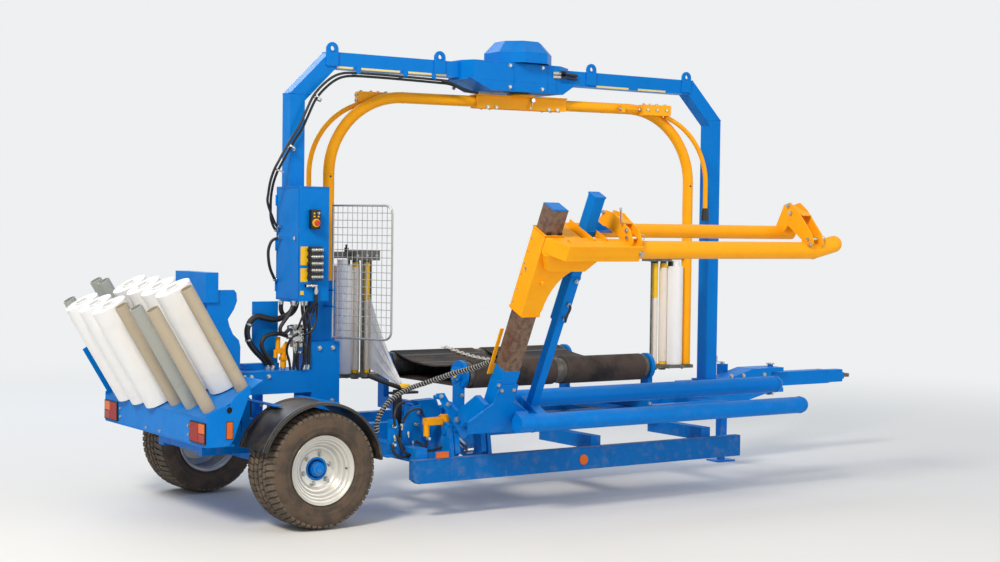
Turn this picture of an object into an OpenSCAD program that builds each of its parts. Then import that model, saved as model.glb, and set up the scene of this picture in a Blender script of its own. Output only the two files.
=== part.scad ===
// Trailed square bale wrapper with a side loading clamp.
// X points forward, Y to the left, Z up. Inside the modules X = 0 is the axle,
// Y = 0 the middle and Z = 0 the ground; in_frame() moves the whole model so
// that its origin is the centre of the tow eye.

/* [Wheels] */
// Outside diameter of the tyres
tyre_d = 806; // [700:1:900]
// Width of the tyres
tyre_w = 400; // [330:1:430]
// Distance from the middle of the machine to the middle of a tyre
wheel_y = 912; // [880:1:1000]
// Diameter of the rim flange
rim_d = 475; // [440:1:500]
// Width of the rim over its flanges
rim_w = 358; // [300:1:370]
// How far the wheel disc lies inside the outer flange
disc_inset = 105; // [60:1:150]
// Diameter of the wheel hub
hub_d = 158; // [120:1:170]
// Diameter of the stub axle that the hub turns on
spindle_d = 60; // [40:1:80]
// Gap between a tyre and its fender
fender_gap = 51; // [45:1:90]

/* [Frame] */
// Square tube of the axle
axle_tube = 100; // [80:1:120]
// Distance from the middle to a frame rail
rail_y = 330; // [250:1:420]
// Width of a frame rail
rail_w = 90; // [60:1:120]
// Height of a frame rail
rail_h = 150; // [100:1:180]
// Rear end of the frame rails
rail_x0 = -560; // [-640:1:-450]
// Front end of the frame rails
rail_x1 = 4300; // [4200:1:4400]
// Outer face of the side sill, from the middle
sill_y = 1100; // [1050:1:1150]
// Rear end of the side sill
sill_x0 = 700; // [640:1:800]
// Front end of the side sill
sill_x1 = 3760; // [3500:1:3900]
// Underside of the side sill above the ground
sill_z = 256; // [220:1:300]
// Height of the side sill
sill_h = 165; // [120:1:200]

/* [Rear rack] */
// Rear face of the rack behind the axle
rack_x = 760; // [720:1:800]
// Width of the rack over its end plates
rack_w = 1785; // [1600:1:1900]
// Underside of the rack above the ground
rack_z = 580; // [540:1:620]
// Height of the rack's rear panel
rack_h = 190; // [160:1:200]
// Length of the sloping floor that the rolls stand on
floor_len = 470; // [440:1:500]
// Distance along the floor between the two rows of rolls
row_gap = 265; // [200:1:300]
// How far the rolls lean back from upright
roll_lean = 31; // [20:1:40]
// Length of a film core
core_len = 790; // [600:1:900]
// Outside diameter of a film core
core_d = 90; // [80:1:100]
// Bore of a film core
core_bore = 76; // [60:1:78]
// Length of the film wound on a core
film_len = 770; // [500:1:780]
// Diameter of a full film roll
film_d = 250; // [200:1:252]

/* [Arch] */
// Square tube of the arch
arch_tube = 120; // [100:1:140]
// Top of the arch above the ground
arch_top = 3330; // [3200:1:3500]
// Rear face of the rear post
post_x0 = 255; // [200:1:300]
// Front face of the front post
post_x1 = 4430; // [4400:1:4550]
// Length of the two corner bevels along X
knee = 325; // [250:1:450]
// Height of the two corner bevels
knee_h = 322; // [250:1:400]
// Width of the front post along X
front_post_w = 120; // [100:1:160]
// Top of the wide foot of the rear post
foot_top = 1195; // [1100:1:1300]
// Front face of the wide foot
foot_x1 = 640; // [600:1:660]
// Rear face of the wide foot
foot_x0 = 410; // [380:1:440]
// Rear face of the column between foot and post
column_x0 = 450; // [440:1:500]
// Underside of the link that joins column and post
link_z = 1490; // [1450:1:1550]
// Height of that link
link_h = 150; // [120:1:180]
// Width of the rear post's foot across the machine
foot_w = 280; // [200:1:300]

/* [Wrapping arm] */
// Distance from the axle to the axis that the wrapping arm turns about
arm_x = 2327; // [2250:1:2400]
// Radius at which the arm's legs hang
arm_r = 1607; // [1550:1:1620]
// Height of the arm's crossbar under the top of the arch
arm_drop = 286; // [270:1:300]
// Diameter of the arm's tube
arm_d = 86; // [70:1:100]
// Radius of the arm's two bends
arm_bend = 600; // [500:1:640]
// Where the arm stands when it is parked
arm_yaw = -8.3; // [-12:0.1:12]
// Diameter of the arm's upright shaft
shaft_d = 120; // [90:1:140]
// Half width of the drive housing round the beam
drive_w = 190; // [160:1:220]
// Depth of the drive housing below the beam
drive_drop = 90; // [70:1:92]
// Half width of the faceted cover on top of the drive
cover_r = 320; // [280:1:340]
// How far the base plate of a film dispenser reaches in from the leg
base_len = 462; // [440:1:470]
// Diameter of the film roll on a dispenser
used_d = 150; // [110:1:180]
// Lower end of the legs
leg_z = 922; // [900:1:960]

/* [Wrapping table] */
// Distance from the middle to a table roller
roller_y = 550; // [500:1:620]
// Height of the table rollers
roller_z = 950; // [920:1:1000]
// Diameter of a table roller
roller_d = 190; // [150:1:220]
// Rear end of the rollers
roller_x0 = 1470; // [1440:1:1520]
// Front end of the rollers
roller_x1 = 3190; // [3100:1:3240]
// Thickness of the belts
belt_t = 10; // [6:1:14]
// Sag of the upper belt run between the rollers
belt_sag = 75; // [40:1:100]

/* [Loading arm] */
// Lean of the mast out from upright, parked
mast_lean = 26; // [20:1:32]
// Middle of the mast ahead of the axle
mast_x = 1240; // [1200:1:1300]
// Square tube of the mast
mast_tube = 125; // [100:1:140]
// Length of the mast
mast_len = 1721; // [1650:1:1900]
// Height of the swing axis above the ground
pivot_z = 600; // [580:1:640]
// Distance of the swing axis from the middle
pivot_y = 950; // [930:1:980]
// Offset of the mast from the swing axis
mast_off = 238; // [225:1:250]
// Diameter of the swing pin
pivot_d = 60; // [45:1:70]
// Distance between the two lower forks
fork_gap = 320; // [280:1:340]
// Diameter of the lower forks
fork_d = 130; // [100:1:140]
// Height of the forks above the swing axis, along the mast
fork_z = 281; // [270:1:300]
// Front tip of the lower forks
fork_x1 = 4150; // [4000:1:4300]
// Distance between the two upper clamp pipes
pipe_gap = 300; // [260:1:320]
// Diameter of the outer clamp pipe
pipe_d = 125; // [100:1:130]
// Front tip of the outer clamp pipe
pipe_x1 = 3840; // [3700:1:4000]
// Front end of the inner clamp pipe
pipe2_x1 = 3640; // [3500:1:3680]
// Height of the clamp pipes above the swing axis, along the mast, parked
clamp_z = 1646; // [1600:1:1700]
// Length of the clamp's sleeve on the mast
sleeve_len = 620; // [500:1:700]

// Lower end of the mast, up from the swing axis
mast_z0 = 165; // [160:1:180]
// Distance of the lift cylinder's rear pin from the middle
lift_y = 450; // [440:1:470]
// Height of the lift cylinder's rear pin above the ground
lift_z = 700; // [680:1:720]
// The lever's pin hole, inward from the mast
lift_y1 = 132; // [120:1:140]
// The lever's pin hole, below the swing axis along the mast
lift_z1 = 106; // [95:1:115]
// Length of the lift cylinder's barrel
lift_len = 370; // [350:1:380]

/* [Drawbar] */
// Upright pin of the drawbar ahead of the axle
draw_x = 5130; // [5000:1:5200]
// Tow eye ahead of the axle
eye_x = 6060; // [5900:1:6200]
// Height of the tow eye
eye_z = 725; // [700:1:820]
// Bore of the tow eye
eye_bore = 51; // [40:1:55]
// Thickness of the tow eye
eye_t = 30; // [25:1:40]
// Parking jack behind the drawbar's pin
jack_back = 410; // [380:1:460]
// Square tube of the parking jack
jack_tube = 70; // [60:1:80]

/* [Hidden] */
$fn = 64;

// Clearances
fit = 0.3;
run = 0.05;

blue = "#0068C8";
orange = "#FFA514";
black = "#1B1B1D";
silver = "#C9CBC8";
worn = "#6E5648";

axle_z = tyre_d / 2;
rail_z = axle_z + axle_tube / 2;
rail_top = rail_z + rail_h;
seat_r = rim_d / 2 - 16;
used_r = arm_r - arm_d / 2 - used_d / 2 - 2;
wheel_out = wheel_y + rim_w / 2;
disc_y = wheel_out - disc_inset;
hub_in = disc_y - 95;
fender_r = tyre_d / 2 + fender_gap;
arch_z = arch_top - arch_tube / 2;
post_y = arch_tube / 2;
beam_z = 830;
fender_x = -12;
arm_z = arch_top - arm_drop;
guard_x = foot_x1 - 80;
guard_y = -170;
// The mitre of the arch's corners keeps the tube's width along the bevel
knee_l = norm([knee, knee_h]);
mitre = arch_tube * (knee_l - knee_h) / knee;
mitre_w = arch_tube * knee_l / knee_h;
mitre_b = arch_tube * (knee_l - knee) / knee_h;
outrigger_x = [sill_x0 + 60, (sill_x0 + sill_x1) / 2 + 70, sill_x1 - 360];
// Control box round the rear post
box_x0 = post_x0 - 5;
box_x1 = post_x0 + 239;
box_y0 = -post_y - 168;
box_y1 = post_y + 72;
post_x = 330;
post_dy = 20;
// Length of the lift cylinder over its two holes, parked
lift_dy = pivot_y - lift_y + (mast_off - lift_y1) * cos(mast_lean) - lift_z1 * sin(mast_lean);
lift_dz = lift_z - pivot_z + (mast_off - lift_y1) * sin(mast_lean) + lift_z1 * cos(mast_lean);
lift_now = sqrt(lift_dy * lift_dy + lift_dz * lift_dz);
lift_stroke = 230;

// Routes of the hoses and their diameters; they hang from the control box and are held at both ends
RISER = [[175, 75, 2100], [160, 50, 2180], [148, 20, 2260], [140, -30, 2350], [150, -70, 2430], [175, -88, 2490],
    [222, -90, 2573], [281, -90, 2667], [332, -90, 2737], [382, -90, 2839], [433, -90, 2945], [475, -90, 3005],
    [536, -88, 3065], [606, -78, 3115], [685, -55, 3148], [790, -35, 3165], [1000, -30, 3168], [1300, -30, 3165],
    [1590, -30, 3160]];
HOSES = [
    [44, [[330, 0, 1490 - fit], [330, 0, 1465], [318, 0, 1428], [290, 0, 1396], [240, 0, 1373], [169, 0, 1358],
        [96, 0, 1373], [32, 0, 1384], [-18, 0, 1352], [-43, 0, 1296], [-42, 0, 1244], [-24, 0, 1192], [20, -2, 1135],
        [75, -4, 1082], [112, -5, 1040], [122, -5, 1015], [122, -5, 995 + fit]]],
    [32, [[265 - fit, -92, 1238], [250, -92, 1238], [235, -86, 1241], [215, -72, 1250], [185, -58, 1258],
        [128, -50, 1257], [75, -50, 1240], [50, -50, 1204], [51, -50, 1160], [82, -50, 1108], [122, -50, 1058],
        [138, -50, 1022], [138, -50, 995 + fit]]],
    [34, [[266, 78, 1500 - fit], [266, 78, 1470], [266, 78, 1425], [287, 78, 1388], [336, 78, 1386], [376, 78, 1420],
        [396, 78, 1465], [396, 78, 1500 - fit]]],
    [28, [[272, -105, 1500 - fit], [272, -105, 1465], [238, -105, 1400], [194, -105, 1345], [168, -105, 1305],
        [172, -105, 1272], [200, -105, 1262], [228, -105, 1282], [246, -105, 1303], [254, -105, 1306],
        [265 - fit, -105, 1306]]],
    [24, [[322, -150, 1500 - fit], [322, -150, 1440], [330, -150, 1385], [345, -146, 1310], [356, -132, 1233],
        [358, -122, 1158], [356, -120, 1045], [356, -120, 995 + fit]]],
    [24, [[352, -150, 1500 - fit], [352, -150, 1440], [366, -150, 1370], [380, -148, 1310], [389, -140, 1245],
        [392, -124, 1172], [390, -120, 1050], [390, -120, 995 + fit]]],
    [20, [[290, -92, 1160 - fit], [290, -92, 1080], [285, -92, 1040], [285, -92, 995 + fit]]],
    [20, [[318, -92, 1160 - fit], [318, -92, 1080], [318, -92, 995 + fit]]],
    [22, [[250 - fit, 50, 1951], [215, 50, 1951], [175, 58, 1930], [155, 68, 1870], [160, 78, 1800], [180, 90, 1730],
        [212, 100, 1670], [232, 105, 1646], [250 - fit, 105, 1646]]],
    [22, concat([[250 - fit, 95, 2010], [232, 95, 2010], [205, 90, 2035]], RISER, [[arm_x - 705 - fit, -30, 3160]])],
    [22, concat([[250 - fit, 60, 2035], [232, 60, 2035], [200, 56, 2060]],
        [for (i = [1 : len(RISER) - 1]) RISER[i] + [-22, -24, 14]], [[arm_x - 705 - fit, -54, 3174]])],
];

module in_frame() translate([-eye_x, 0, -eye_z]) children();

// Points the local Z axis from p to q
module along(p, q) {
    d = q - p;
    translate(p)
        rotate([0, acos(d[2] / norm(d)), atan2(d[1], d[0])])
            children();
}

module rod(p, q, d) along(p, q) cylinder(d = d, h = norm(q - p));

// Square bar; w lies in the upright plane of the bar, h across it
module bar(p, q, w, h) along(p, q) translate([-w / 2, -h / 2, 0]) cube([w, h, norm(q - p)]);

module block(x, y, z) translate([x[0], y[0], z[0]]) cube([x[1] - x[0], y[1] - y[0], z[1] - z[0]]);

// A plate in the X-Z plane: outline in X and Z, from y0 to y1
module side_plate(outline, y0, y1)
    translate([0, y1, 0]) rotate([90, 0, 0]) linear_extrude(y1 - y0) polygon(outline);

// A plate in the Y-Z plane: outline in Y and Z, from x0 to x1
module cross_plate(outline, x0, x1)
    translate([x0, 0, 0]) rotate([90, 0, 90]) linear_extrude(x1 - x0) polygon(outline);

module main_frame() in_frame() color(blue) {
    for (s = [-1, 1])
        block([rail_x0, rail_x1], [s * rail_y - rail_w / 2, s * rail_y + rail_w / 2], [rail_z, rail_top]);
    for (x = [rail_x0, 800, 1900, 3000])
        block([x, x + 100], [-rail_y + rail_w / 2, rail_y - rail_w / 2], [rail_z + 20, rail_top - 20]);
    // Head of the frame, which rises to the drawbar
    difference() {
        side_plate([[rail_x1 - 200, rail_z], [rail_x1, rail_z], [draw_x - 120, eye_z - 110], [draw_x + 60, eye_z - 110],
            [draw_x + 60, eye_z + 110], [draw_x - 300, eye_z + 110], [post_x1 + 40, rail_top + 140 - fit],
            [rail_x1 - 200, rail_top + 140 - fit]], -110, 110);
        block([draw_x - 90, draw_x + 70], [-120, 120], [eye_z - 72, eye_z + 72]);
    }
    translate([draw_x, 0, eye_z - 130]) cylinder(r = 25, h = 260);
    block([rail_x1 - 200, rail_x1 - 100], [-rail_y + rail_w / 2, rail_y - rail_w / 2], [rail_z, rail_top]);
    // Outriggers that carry the side sill
    for (x = outrigger_x)
        block([x, x + 90], [-sill_y + 60, -rail_y - rail_w / 2], [rail_z - 60, rail_z + 40]);
    // Seat of the rear post
    block([foot_x0 - 20, foot_x1 + 20], [-rail_y - rail_w / 2, rail_y + rail_w / 2], [rail_top, rail_top + 40 - fit]);
    // Brackets that hold the fenders
    for (s = [-1, 1], x = [-260, 180]) {
        y0 = rail_y + rail_w / 2;
        y1 = wheel_y - tyre_w / 2 + 10;
        near = min(abs(x - fender_x), abs(x + 60 - fender_x));
        z = axle_z + sqrt(pow(fender_r + 8, 2) - near * near) + fit;
        block([x, x + 60], s > 0 ? [rail_y - 20, y0] : [-y0, -rail_y + 20], [rail_top, z + 6]);
        block([x, x + 60], s > 0 ? [y0, y1 + 150] : [-y1 - 150, -y0], [z, z + 6]);
    }
}

module axle() in_frame() color(blue) {
    block([-axle_tube / 2, axle_tube / 2], [-hub_in + 12, hub_in - 12], [rail_z - axle_tube, rail_z - fit]);
    for (s = [-1, 1])
        translate([0, s * (hub_in - 20), axle_z]) rotate([-90 * s, 0, 0]) cylinder(d = spindle_d, h = 90);
}

module side_sill() in_frame() color(blue)
    side_plate([[sill_x0, sill_z + 30], [sill_x0 + 40, sill_z], [sill_x1, sill_z], [sill_x1, sill_z + sill_h],
        [sill_x0, sill_z + sill_h]], -sill_y, -sill_y + 60 - fit);

module rear_rack() in_frame() color(blue) {
    w = rack_w / 2;
    h = rack_h;
    block([-rack_x, -rack_x + 8], [-w + 8, w - 8], [rack_z, rack_z + h]);
    block([-rack_x + 8, rail_x0 - fit], [-w + 8, w - 8], [rack_z, rack_z + 8]);
    on_rack_floor() block([4, floor_len], [-w + 8, w - 8], [-8, 0]);
    // Holed end plates; the left one carries a bar beside the rolls
    for (s = [-1, 1])
        difference() {
            translate([-rack_x, 0, rack_z])
                side_plate([[0, 0], [0, h + 30], [95, h + 70], [160, h + 80], [200, h + 140], [305, h + 215],
                    [315, h + 165], [300, h + 135], [215, 110], [195, 50], [160, 5], [95, 0]],
                    s > 0 ? w - 8 : -w, s > 0 ? w : -w + 8);
            translate([-rack_x + 160, 0, rack_z + h + 50]) rotate([90, 0, 0]) cylinder(r = 22, h = 2 * w + 2, center = true);
        }
    on_rack_floor() block([22, 62], [w - 8, w], [-4, 390]);
}

// The sloping floor of the rack: x up the slope, z square to it
module on_rack_floor() translate([-rack_x, 0, rack_z + rack_h]) rotate([0, -roll_lean, 0]) children();

// The stand behind the rear post, on a short beam; the hoses run in front of it
module rear_stand() in_frame() color(blue) {
    block([-340, foot_x0 - fit], [-foot_w / 2, foot_w / 2], [beam_z, beam_z + 165]);
    block([-345, -265], [-rail_y - rail_w / 2, rail_y + rail_w / 2], [rail_top, rail_top + 60]);
    for (s = [-1, 1])
        block([-345, -265], s > 0 ? [60, foot_w / 2] : [-foot_w / 2, -60], [rail_top + 60, beam_z]);
    block([-340, -190], [-210, 210], [beam_z + 165, beam_z + 177]);
    for (y = [-205, 170])
        side_plate([[-335, beam_z + 177], [-198, beam_z + 177], [-195, 1184], [-208, 1232], [-253, 1274], [-280, 1331],
            [-294, 1380], [-246, 1452], [-224, 1509], [-229, 1565], [-247, 1587], [-390, 1587], [-450, 1587],
            [-450, 1250]], y, y + 12);
    difference() {
        block([-470, -375], [-220, 300], [1500, 1710]);
        block([-450, -395], [-200, 280], [1499, 1690]);
        for (y = [-205, 170])
            block([-450 - fit, -370], [y - fit, y + 12 + fit], [1499, 1587 + fit]);
    }
    side_plate([[20, 1490], [post_x0 - 30, 1490], [post_x0 - 30, 1040], [120, 1040], [20, 1180]], 45, 57);
    block([-60, post_x0 - 30 - fit], [20, 90], [beam_z + 165, 1040]);
}

module rear_post() in_frame() color(blue) {
    z1 = arch_top - knee_h;
    side_plate([[post_x0, link_z], [post_x0 + arch_tube, link_z], [post_x0 + arch_tube, z1 - mitre],
        [post_x0 + mitre_w, z1], [post_x0, z1]], -post_y, post_y);
    // The link carries the post over to the column on the wide foot
    block([post_x0, foot_x1], [-post_y, post_y], [link_z, link_z + link_h]);
    block([column_x0, foot_x1], [-post_y, post_y], [foot_top, link_z + link_h]);
    block([foot_x0, foot_x1], [-foot_w / 2, foot_w / 2], [rail_top + 40, foot_top]);
    // Lugs of the guard's hinge
    for (z = [link_z - 40, link_z + 80])
        difference() {
            block([guard_x - 14, guard_x + 14], [guard_y - 14, -post_y], [z, z + 12]);
            translate([guard_x, guard_y, z - 1]) cylinder(r = 8 + run, h = 14);
        }
}

module arch_beam() in_frame() color(blue) {
    z1 = arch_top - knee_h + fit;
    side_plate([[post_x0, z1], [post_x0 + knee, arch_top], [post_x1 - knee, arch_top], [post_x1, z1],
        [post_x1 - mitre_w, z1], [post_x1 - knee - mitre_b, arch_top - arch_tube],
        [post_x0 + knee + mitre_b, arch_top - arch_tube], [post_x0 + mitre_w, z1]], -post_y, post_y);
    // Lifting eyes
    for (x = [post_x0 + 339, post_x0 + 1277, post_x1 - 1429, post_x1 - 405])
        difference() {
            union() {
                block([x - 50, x + 50], [-post_y - 12, -post_y], [arch_top - 105, arch_top + 20]);
                translate([x, -post_y, arch_top + 20]) rotate([90, 0, 0]) cylinder(r = 50, h = 12);
            }
            translate([x, -post_y + 1, arch_top + 25]) rotate([90, 0, 0]) cylinder(r = 17, h = 14);
        }
}

module front_post() in_frame() color(blue) {
    z1 = arch_top - knee_h;
    side_plate([[post_x1, rail_top + 140], [post_x1, z1], [post_x1 - mitre_w, z1], [post_x1 - front_post_w, z1 - mitre],
        [post_x1 - front_post_w, rail_top + 140]], -post_y, post_y);
}

module slew_drive() in_frame() color(blue) difference() {
    z0 = arch_top - arch_tube;
    union() {
        translate([arm_x, 0, z0 - drive_drop]) linear_extrude(arch_tube + drive_drop + 15)
            polygon([[-705, -post_y], [-554, -drive_w], [272, -drive_w], [442, -post_y], [442, post_y],
                [272, drive_w], [-554, drive_w], [-705, post_y]]);
        // Faceted cover on top
        translate([arm_x, 0, arch_top + 15]) rotate(22.5) {
            cylinder(r = cover_r / cos(22.5), h = 55, $fn = 8);
            translate([0, 0, 55]) cylinder(r1 = cover_r / cos(22.5), r2 = 150, h = 125, $fn = 8);
        }
    }
    block([0, post_x1], [-post_y - fit, post_y + fit], [z0 - fit, arch_top + fit]);
    translate([arm_x, 0, 0]) cylinder(d = shaft_d + 2 * run, h = z0 - 20);
}

module control_box() in_frame() color(blue) difference() {
    block([box_x0, box_x1], [box_y0, box_y1], [link_z + 10, link_z + 840]);
    // The post and its link pass through
    block([post_x0 - fit, post_x0 + arch_tube + fit], [-post_y - fit, post_y + fit], [link_z, link_z + 850]);
    block([post_x0 - fit, foot_x1], [-post_y - fit, post_y + fit], [link_z, link_z + link_h + fit]);
}

module valve_bank() in_frame() color(silver) {
    y = box_y0 - fit;
    // Bodies of the five valves
    for (i = [0 : 4])
        block([box_x1 - 155, box_x1 - 45], [y - 50, y], [link_z + 160 + 49 * i, link_z + 206 + 49 * i]);
    block([box_x1 - 150, box_x1 - 50], [y - 20, y], [link_z + 165, link_z + 395]);
    // Box of the stop button
    block([box_x1 - 105, box_x1 - 35], [y - 50, y], [link_z + 535, link_z + 725]);
    // Fitting block that the hoses run to
    block([265, 345], [-120, -65], [link_z - 330, link_z - 165]);
}

// Tube of n sides swept along the points p; no stretch of p runs along Y
module swept(p, d, n = 8) {
    last = len(p) - 1;
    unit = function(v) v / norm(v);
    dir = [for (i = [0 : last]) unit(p[min(i + 1, last)] - p[max(i - 1, 0)])];
    side = [for (t = dir) unit(cross(t, [0, 1, 0]))];
    pts = [for (i = [0 : last], k = [0 : n - 1])
        p[i] + d / 2 * (cos(360 * k / n) * side[i] + sin(360 * k / n) * cross(dir[i], side[i]))];
    polyhedron(pts, concat(
        [for (i = [0 : last - 1], k = [0 : n - 1]) [i * n + k, (i + 1) * n + k, i * n + (k + 1) % n]],
        [for (i = [0 : last - 1], k = [0 : n - 1])
            [(i + 1) * n + k, (i + 1) * n + (k + 1) % n, i * n + (k + 1) % n]],
        [[for (k = [0 : n - 1]) k], [for (k = [n - 1 : -1 : 0]) last * n + k]]));
}

module hoses() in_frame() color(black) for (h = HOSES) swept(h[1], h[0]);

// One fender; s is -1 on the right side
module fender(s) in_frame() color(black) translate([fender_x, s * wheel_y, axle_z]) rotate([90, 0, 0]) rotate(6) {
    w = tyre_w / 2 + 5;
    // A band with turned-down edges
    rotate_extrude(angle = 155) polygon([[fender_r - 13, -w], [fender_r + 8, -w], [fender_r + 8, w],
        [fender_r - 13, w], [fender_r - 13, w - 6], [fender_r, w - 6], [fender_r, -w + 6], [fender_r - 13, -w + 6]]);
}

module table_frame() in_frame() color(blue)
    for (x = [roller_x0 - 70, roller_x1 + 20])
        difference() {
            union() {
                block([x, x + 50], [-roller_y - 45, roller_y + 45], [rail_top, rail_top + 90]);
                for (s = [-1, 1]) {
                    block([x, x + 50], [s * roller_y - 45, s * roller_y + 45], [rail_top, roller_z]);
                    translate([x, s * roller_y, roller_z]) rotate([0, 90, 0]) cylinder(r = 60, h = 50);
                    translate([x + (x < roller_x1 ? 20 : 0), s * roller_y, roller_z])
                        rotate([0, 90, 0]) cylinder(r = roller_d / 2 + 12, h = 30);
                }
            }
            for (s = [-1, 1])
                translate([x - 1, s * roller_y, roller_z]) rotate([0, 90, 0]) cylinder(r = 20 + run, h = 60);
        }

module table_rollers() in_frame() color(silver)
    for (s = [-1, 1]) {
        rod([roller_x0, s * roller_y, roller_z], [roller_x1, s * roller_y, roller_z], roller_d);
        rod([roller_x0 - 60, s * roller_y, roller_z], [roller_x1 + 60, s * roller_y, roller_z], 40);
    }

// Height of a belt run's middle line over the roller axis; the upper run sags
function run_z(y) = roller_d / 2 + fit + belt_t / 2 - belt_sag * (1 - pow(y / roller_y, 2));

// Cross-section of a belt loop, grown by g
module belt_section(g) {
    r = roller_d / 2 + fit + belt_t / 2;
    union() {
        for (s = [-1, 1]) translate([s * roller_y, roller_z]) circle(r = r + g);
        polygon([for (i = [-8 : 8]) [i * roller_y / 8, roller_z + run_z(i * roller_y / 8) + g],
            [roller_y, roller_z - r - g], [-roller_y, roller_z - r - g]]);
    }
}

module table_belts() in_frame() color(black)
    for (x = [[roller_x0 + 40, roller_x0 + 800], [roller_x0 + 900, roller_x1 - 40]])
        translate([x[0], 0, 0]) rotate([90, 0, 90]) linear_extrude(x[1] - x[0]) difference() {
            belt_section(belt_t / 2);
            belt_section(-belt_t / 2);
        }

// What stands in the rack: place across the machine and row
WHITE = [[520, 0], [265, 0], [10, 0], [-551, 1], [-299, 1], [-47, 1], [205, 1]];
CARD = [[-232, 0], [-765, 0], [-787, 1]];
GREY = [[-488, 0], [760, 0], [680, 1], [834, 1]];

module in_rack(p) in_frame() on_rack_floor() translate([85 + row_gap * p[1], p[0], fit]) children();

module tube(d, bore, h) difference() {
    cylinder(d = d, h = h);
    translate([0, 0, -1]) cylinder(d = bore, h = h + 2);
}

module film_rolls() color("white")
    for (p = WHITE) in_rack(p) {
        translate([0, 0, (core_len - film_len) / 2]) tube(film_d, core_bore, film_len);
        tube(core_d, core_bore, core_len);
    }

module cores_card() color("#A08468") for (p = CARD) in_rack(p) tube(core_d, core_bore, core_len);
module cores_grey() color("#8F918C") for (p = GREY) in_rack(p) tube(core_d, core_bore, core_len);

module lamps() in_frame() color("#C02818")
    for (s = [-1, 1])
        block([-rack_x - 15, -rack_x - fit], [s * (rack_w / 2 - 130) - 120, s * (rack_w / 2 - 130) + 120],
            [rack_z + 20, rack_z + 160]);

module jack() in_frame() color(blue) {
    x = draw_x - jack_back;
    y = 110 + fit;
    block([x - jack_tube, x], [y, y + jack_tube], [90, eye_z + 140]);
    block([x - jack_tube + 10, x - 10], [y + 10, y + jack_tube - 10], [12, 90]);
    block([x - jack_tube / 2 - 100, x - jack_tube / 2 + 100], [y + jack_tube / 2 - 80, y + jack_tube / 2 + 80], [0, 12]);
}

// Two plates between the rail and the side sill; they hold the swing pin and the lift cylinder's rear pin
module loader_bracket() in_frame() color(blue) {
    for (x = [mast_x - 190, mast_x + 130])
        difference() {
            cross_plate([[-rail_y - rail_w / 2 - fit, rail_z], [-sill_y + 60, sill_z + 20], [-sill_y + 60, sill_z + sill_h - 8],
                [-pivot_y - 62, pivot_z - 20], [-pivot_y - 45, pivot_z + 45], [-pivot_y + 20, pivot_z + 62],
                [-lift_y - 200, rail_top + 60], [-lift_y - 45, lift_z + 45], [-lift_y + 45, lift_z + 45],
                [-rail_y - rail_w / 2 - fit, rail_top]], x, x + 30);
            translate([x - 1, -pivot_y, pivot_z]) rotate([0, 90, 0]) cylinder(r = pivot_d / 2 - 4, h = 32);
            translate([x - 1, -lift_y, lift_z]) rotate([0, 90, 0]) cylinder(r = 16, h = 32);
        }
    rod([mast_x - 200, -pivot_y, pivot_z], [mast_x + 170, -pivot_y, pivot_z], pivot_d);
    rod([mast_x - 200, -lift_y, lift_z], [mast_x + 160 - fit, -lift_y, lift_z], 40);
}

module wheel_place(s) translate([0, s * wheel_y, axle_z]) rotate([-90 * s, 0, 0]) children();

module tyre(s) in_frame() color(black) wheel_place(s) rotate_extrude($fn = 96) polygon([[seat_r + fit, -150],
    [seat_r + 12, -163], [rim_d / 2 + 1.5, -165], [260, -tyre_w / 2 + 12], [tyre_d / 2 - 85, -tyre_w / 2], [tyre_d / 2 - 30, -tyre_w / 2 + 12],
    [tyre_d / 2 - 5, -tyre_w / 2 + 42], [tyre_d / 2, -tyre_w / 2 + 70], [tyre_d / 2, tyre_w / 2 - 70],
    [tyre_d / 2 - 5, tyre_w / 2 - 42], [tyre_d / 2 - 30, tyre_w / 2 - 12], [tyre_d / 2 - 85, tyre_w / 2],
    [260, tyre_w / 2 - 12], [rim_d / 2 + 1.5, 165], [seat_r + 12, 163], [seat_r + fit, 150]]);

module rim(s) in_frame() color(silver) wheel_place(s) difference() {
    rotate_extrude($fn = 96) {
        polygon([[seat_r - 10, -rim_w / 2], [seat_r + 16, -rim_w / 2], [seat_r + 16, -rim_w / 2 + 12],
            [seat_r, -rim_w / 2 + 14], [seat_r, rim_w / 2 - 14], [seat_r + 16, rim_w / 2 - 12],
            [seat_r + 16, rim_w / 2], [seat_r - 10, rim_w / 2]]);
        d = disc_y - wheel_y;
        polygon([[hub_d / 2 + fit, d - 10], [170, d - 10], [seat_r - 5, d - 40], [seat_r - 5, d - 25], [172, d],
            [hub_d / 2 + fit, d]]);
    }
}

module hub(s) in_frame() color(blue) wheel_place(s) translate([0, 0, hub_in - wheel_y]) difference() {
    union() {
        cylinder(d = hub_d, h = 130);
        translate([0, 0, 85 - fit - 15]) cylinder(d = 240, h = 15);
        translate([0, 0, 130]) cylinder(d1 = 100, d2 = 80, h = 30);
    }
    translate([0, 0, -1]) cylinder(d = spindle_d + 2 * run, h = 86);
}

// Everything that turns with the wrapping arm is drawn along its own X axis
module on_arm() in_frame() translate([arm_x, 0, 0]) rotate([0, 0, arm_yaw]) children();

module arm_hub() on_arm() color(orange) {
    translate([0, 0, arm_z + arm_d / 2 + 5]) cylinder(d = 260, h = 12);
    translate([0, 0, arm_z + arm_d / 2 + 5]) cylinder(d = shaft_d, h = 90);
    block([-400, 400], [-75, 75], [arm_z + arm_d / 2, arm_z + arm_d / 2 + 12]);
    for (s = [-1, 1])
        block([-400, 400], s > 0 ? [arm_d / 2 + fit, 57] : [-57, -arm_d / 2 - fit], [arm_z - 52, arm_z + arm_d / 2]);
}

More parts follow.
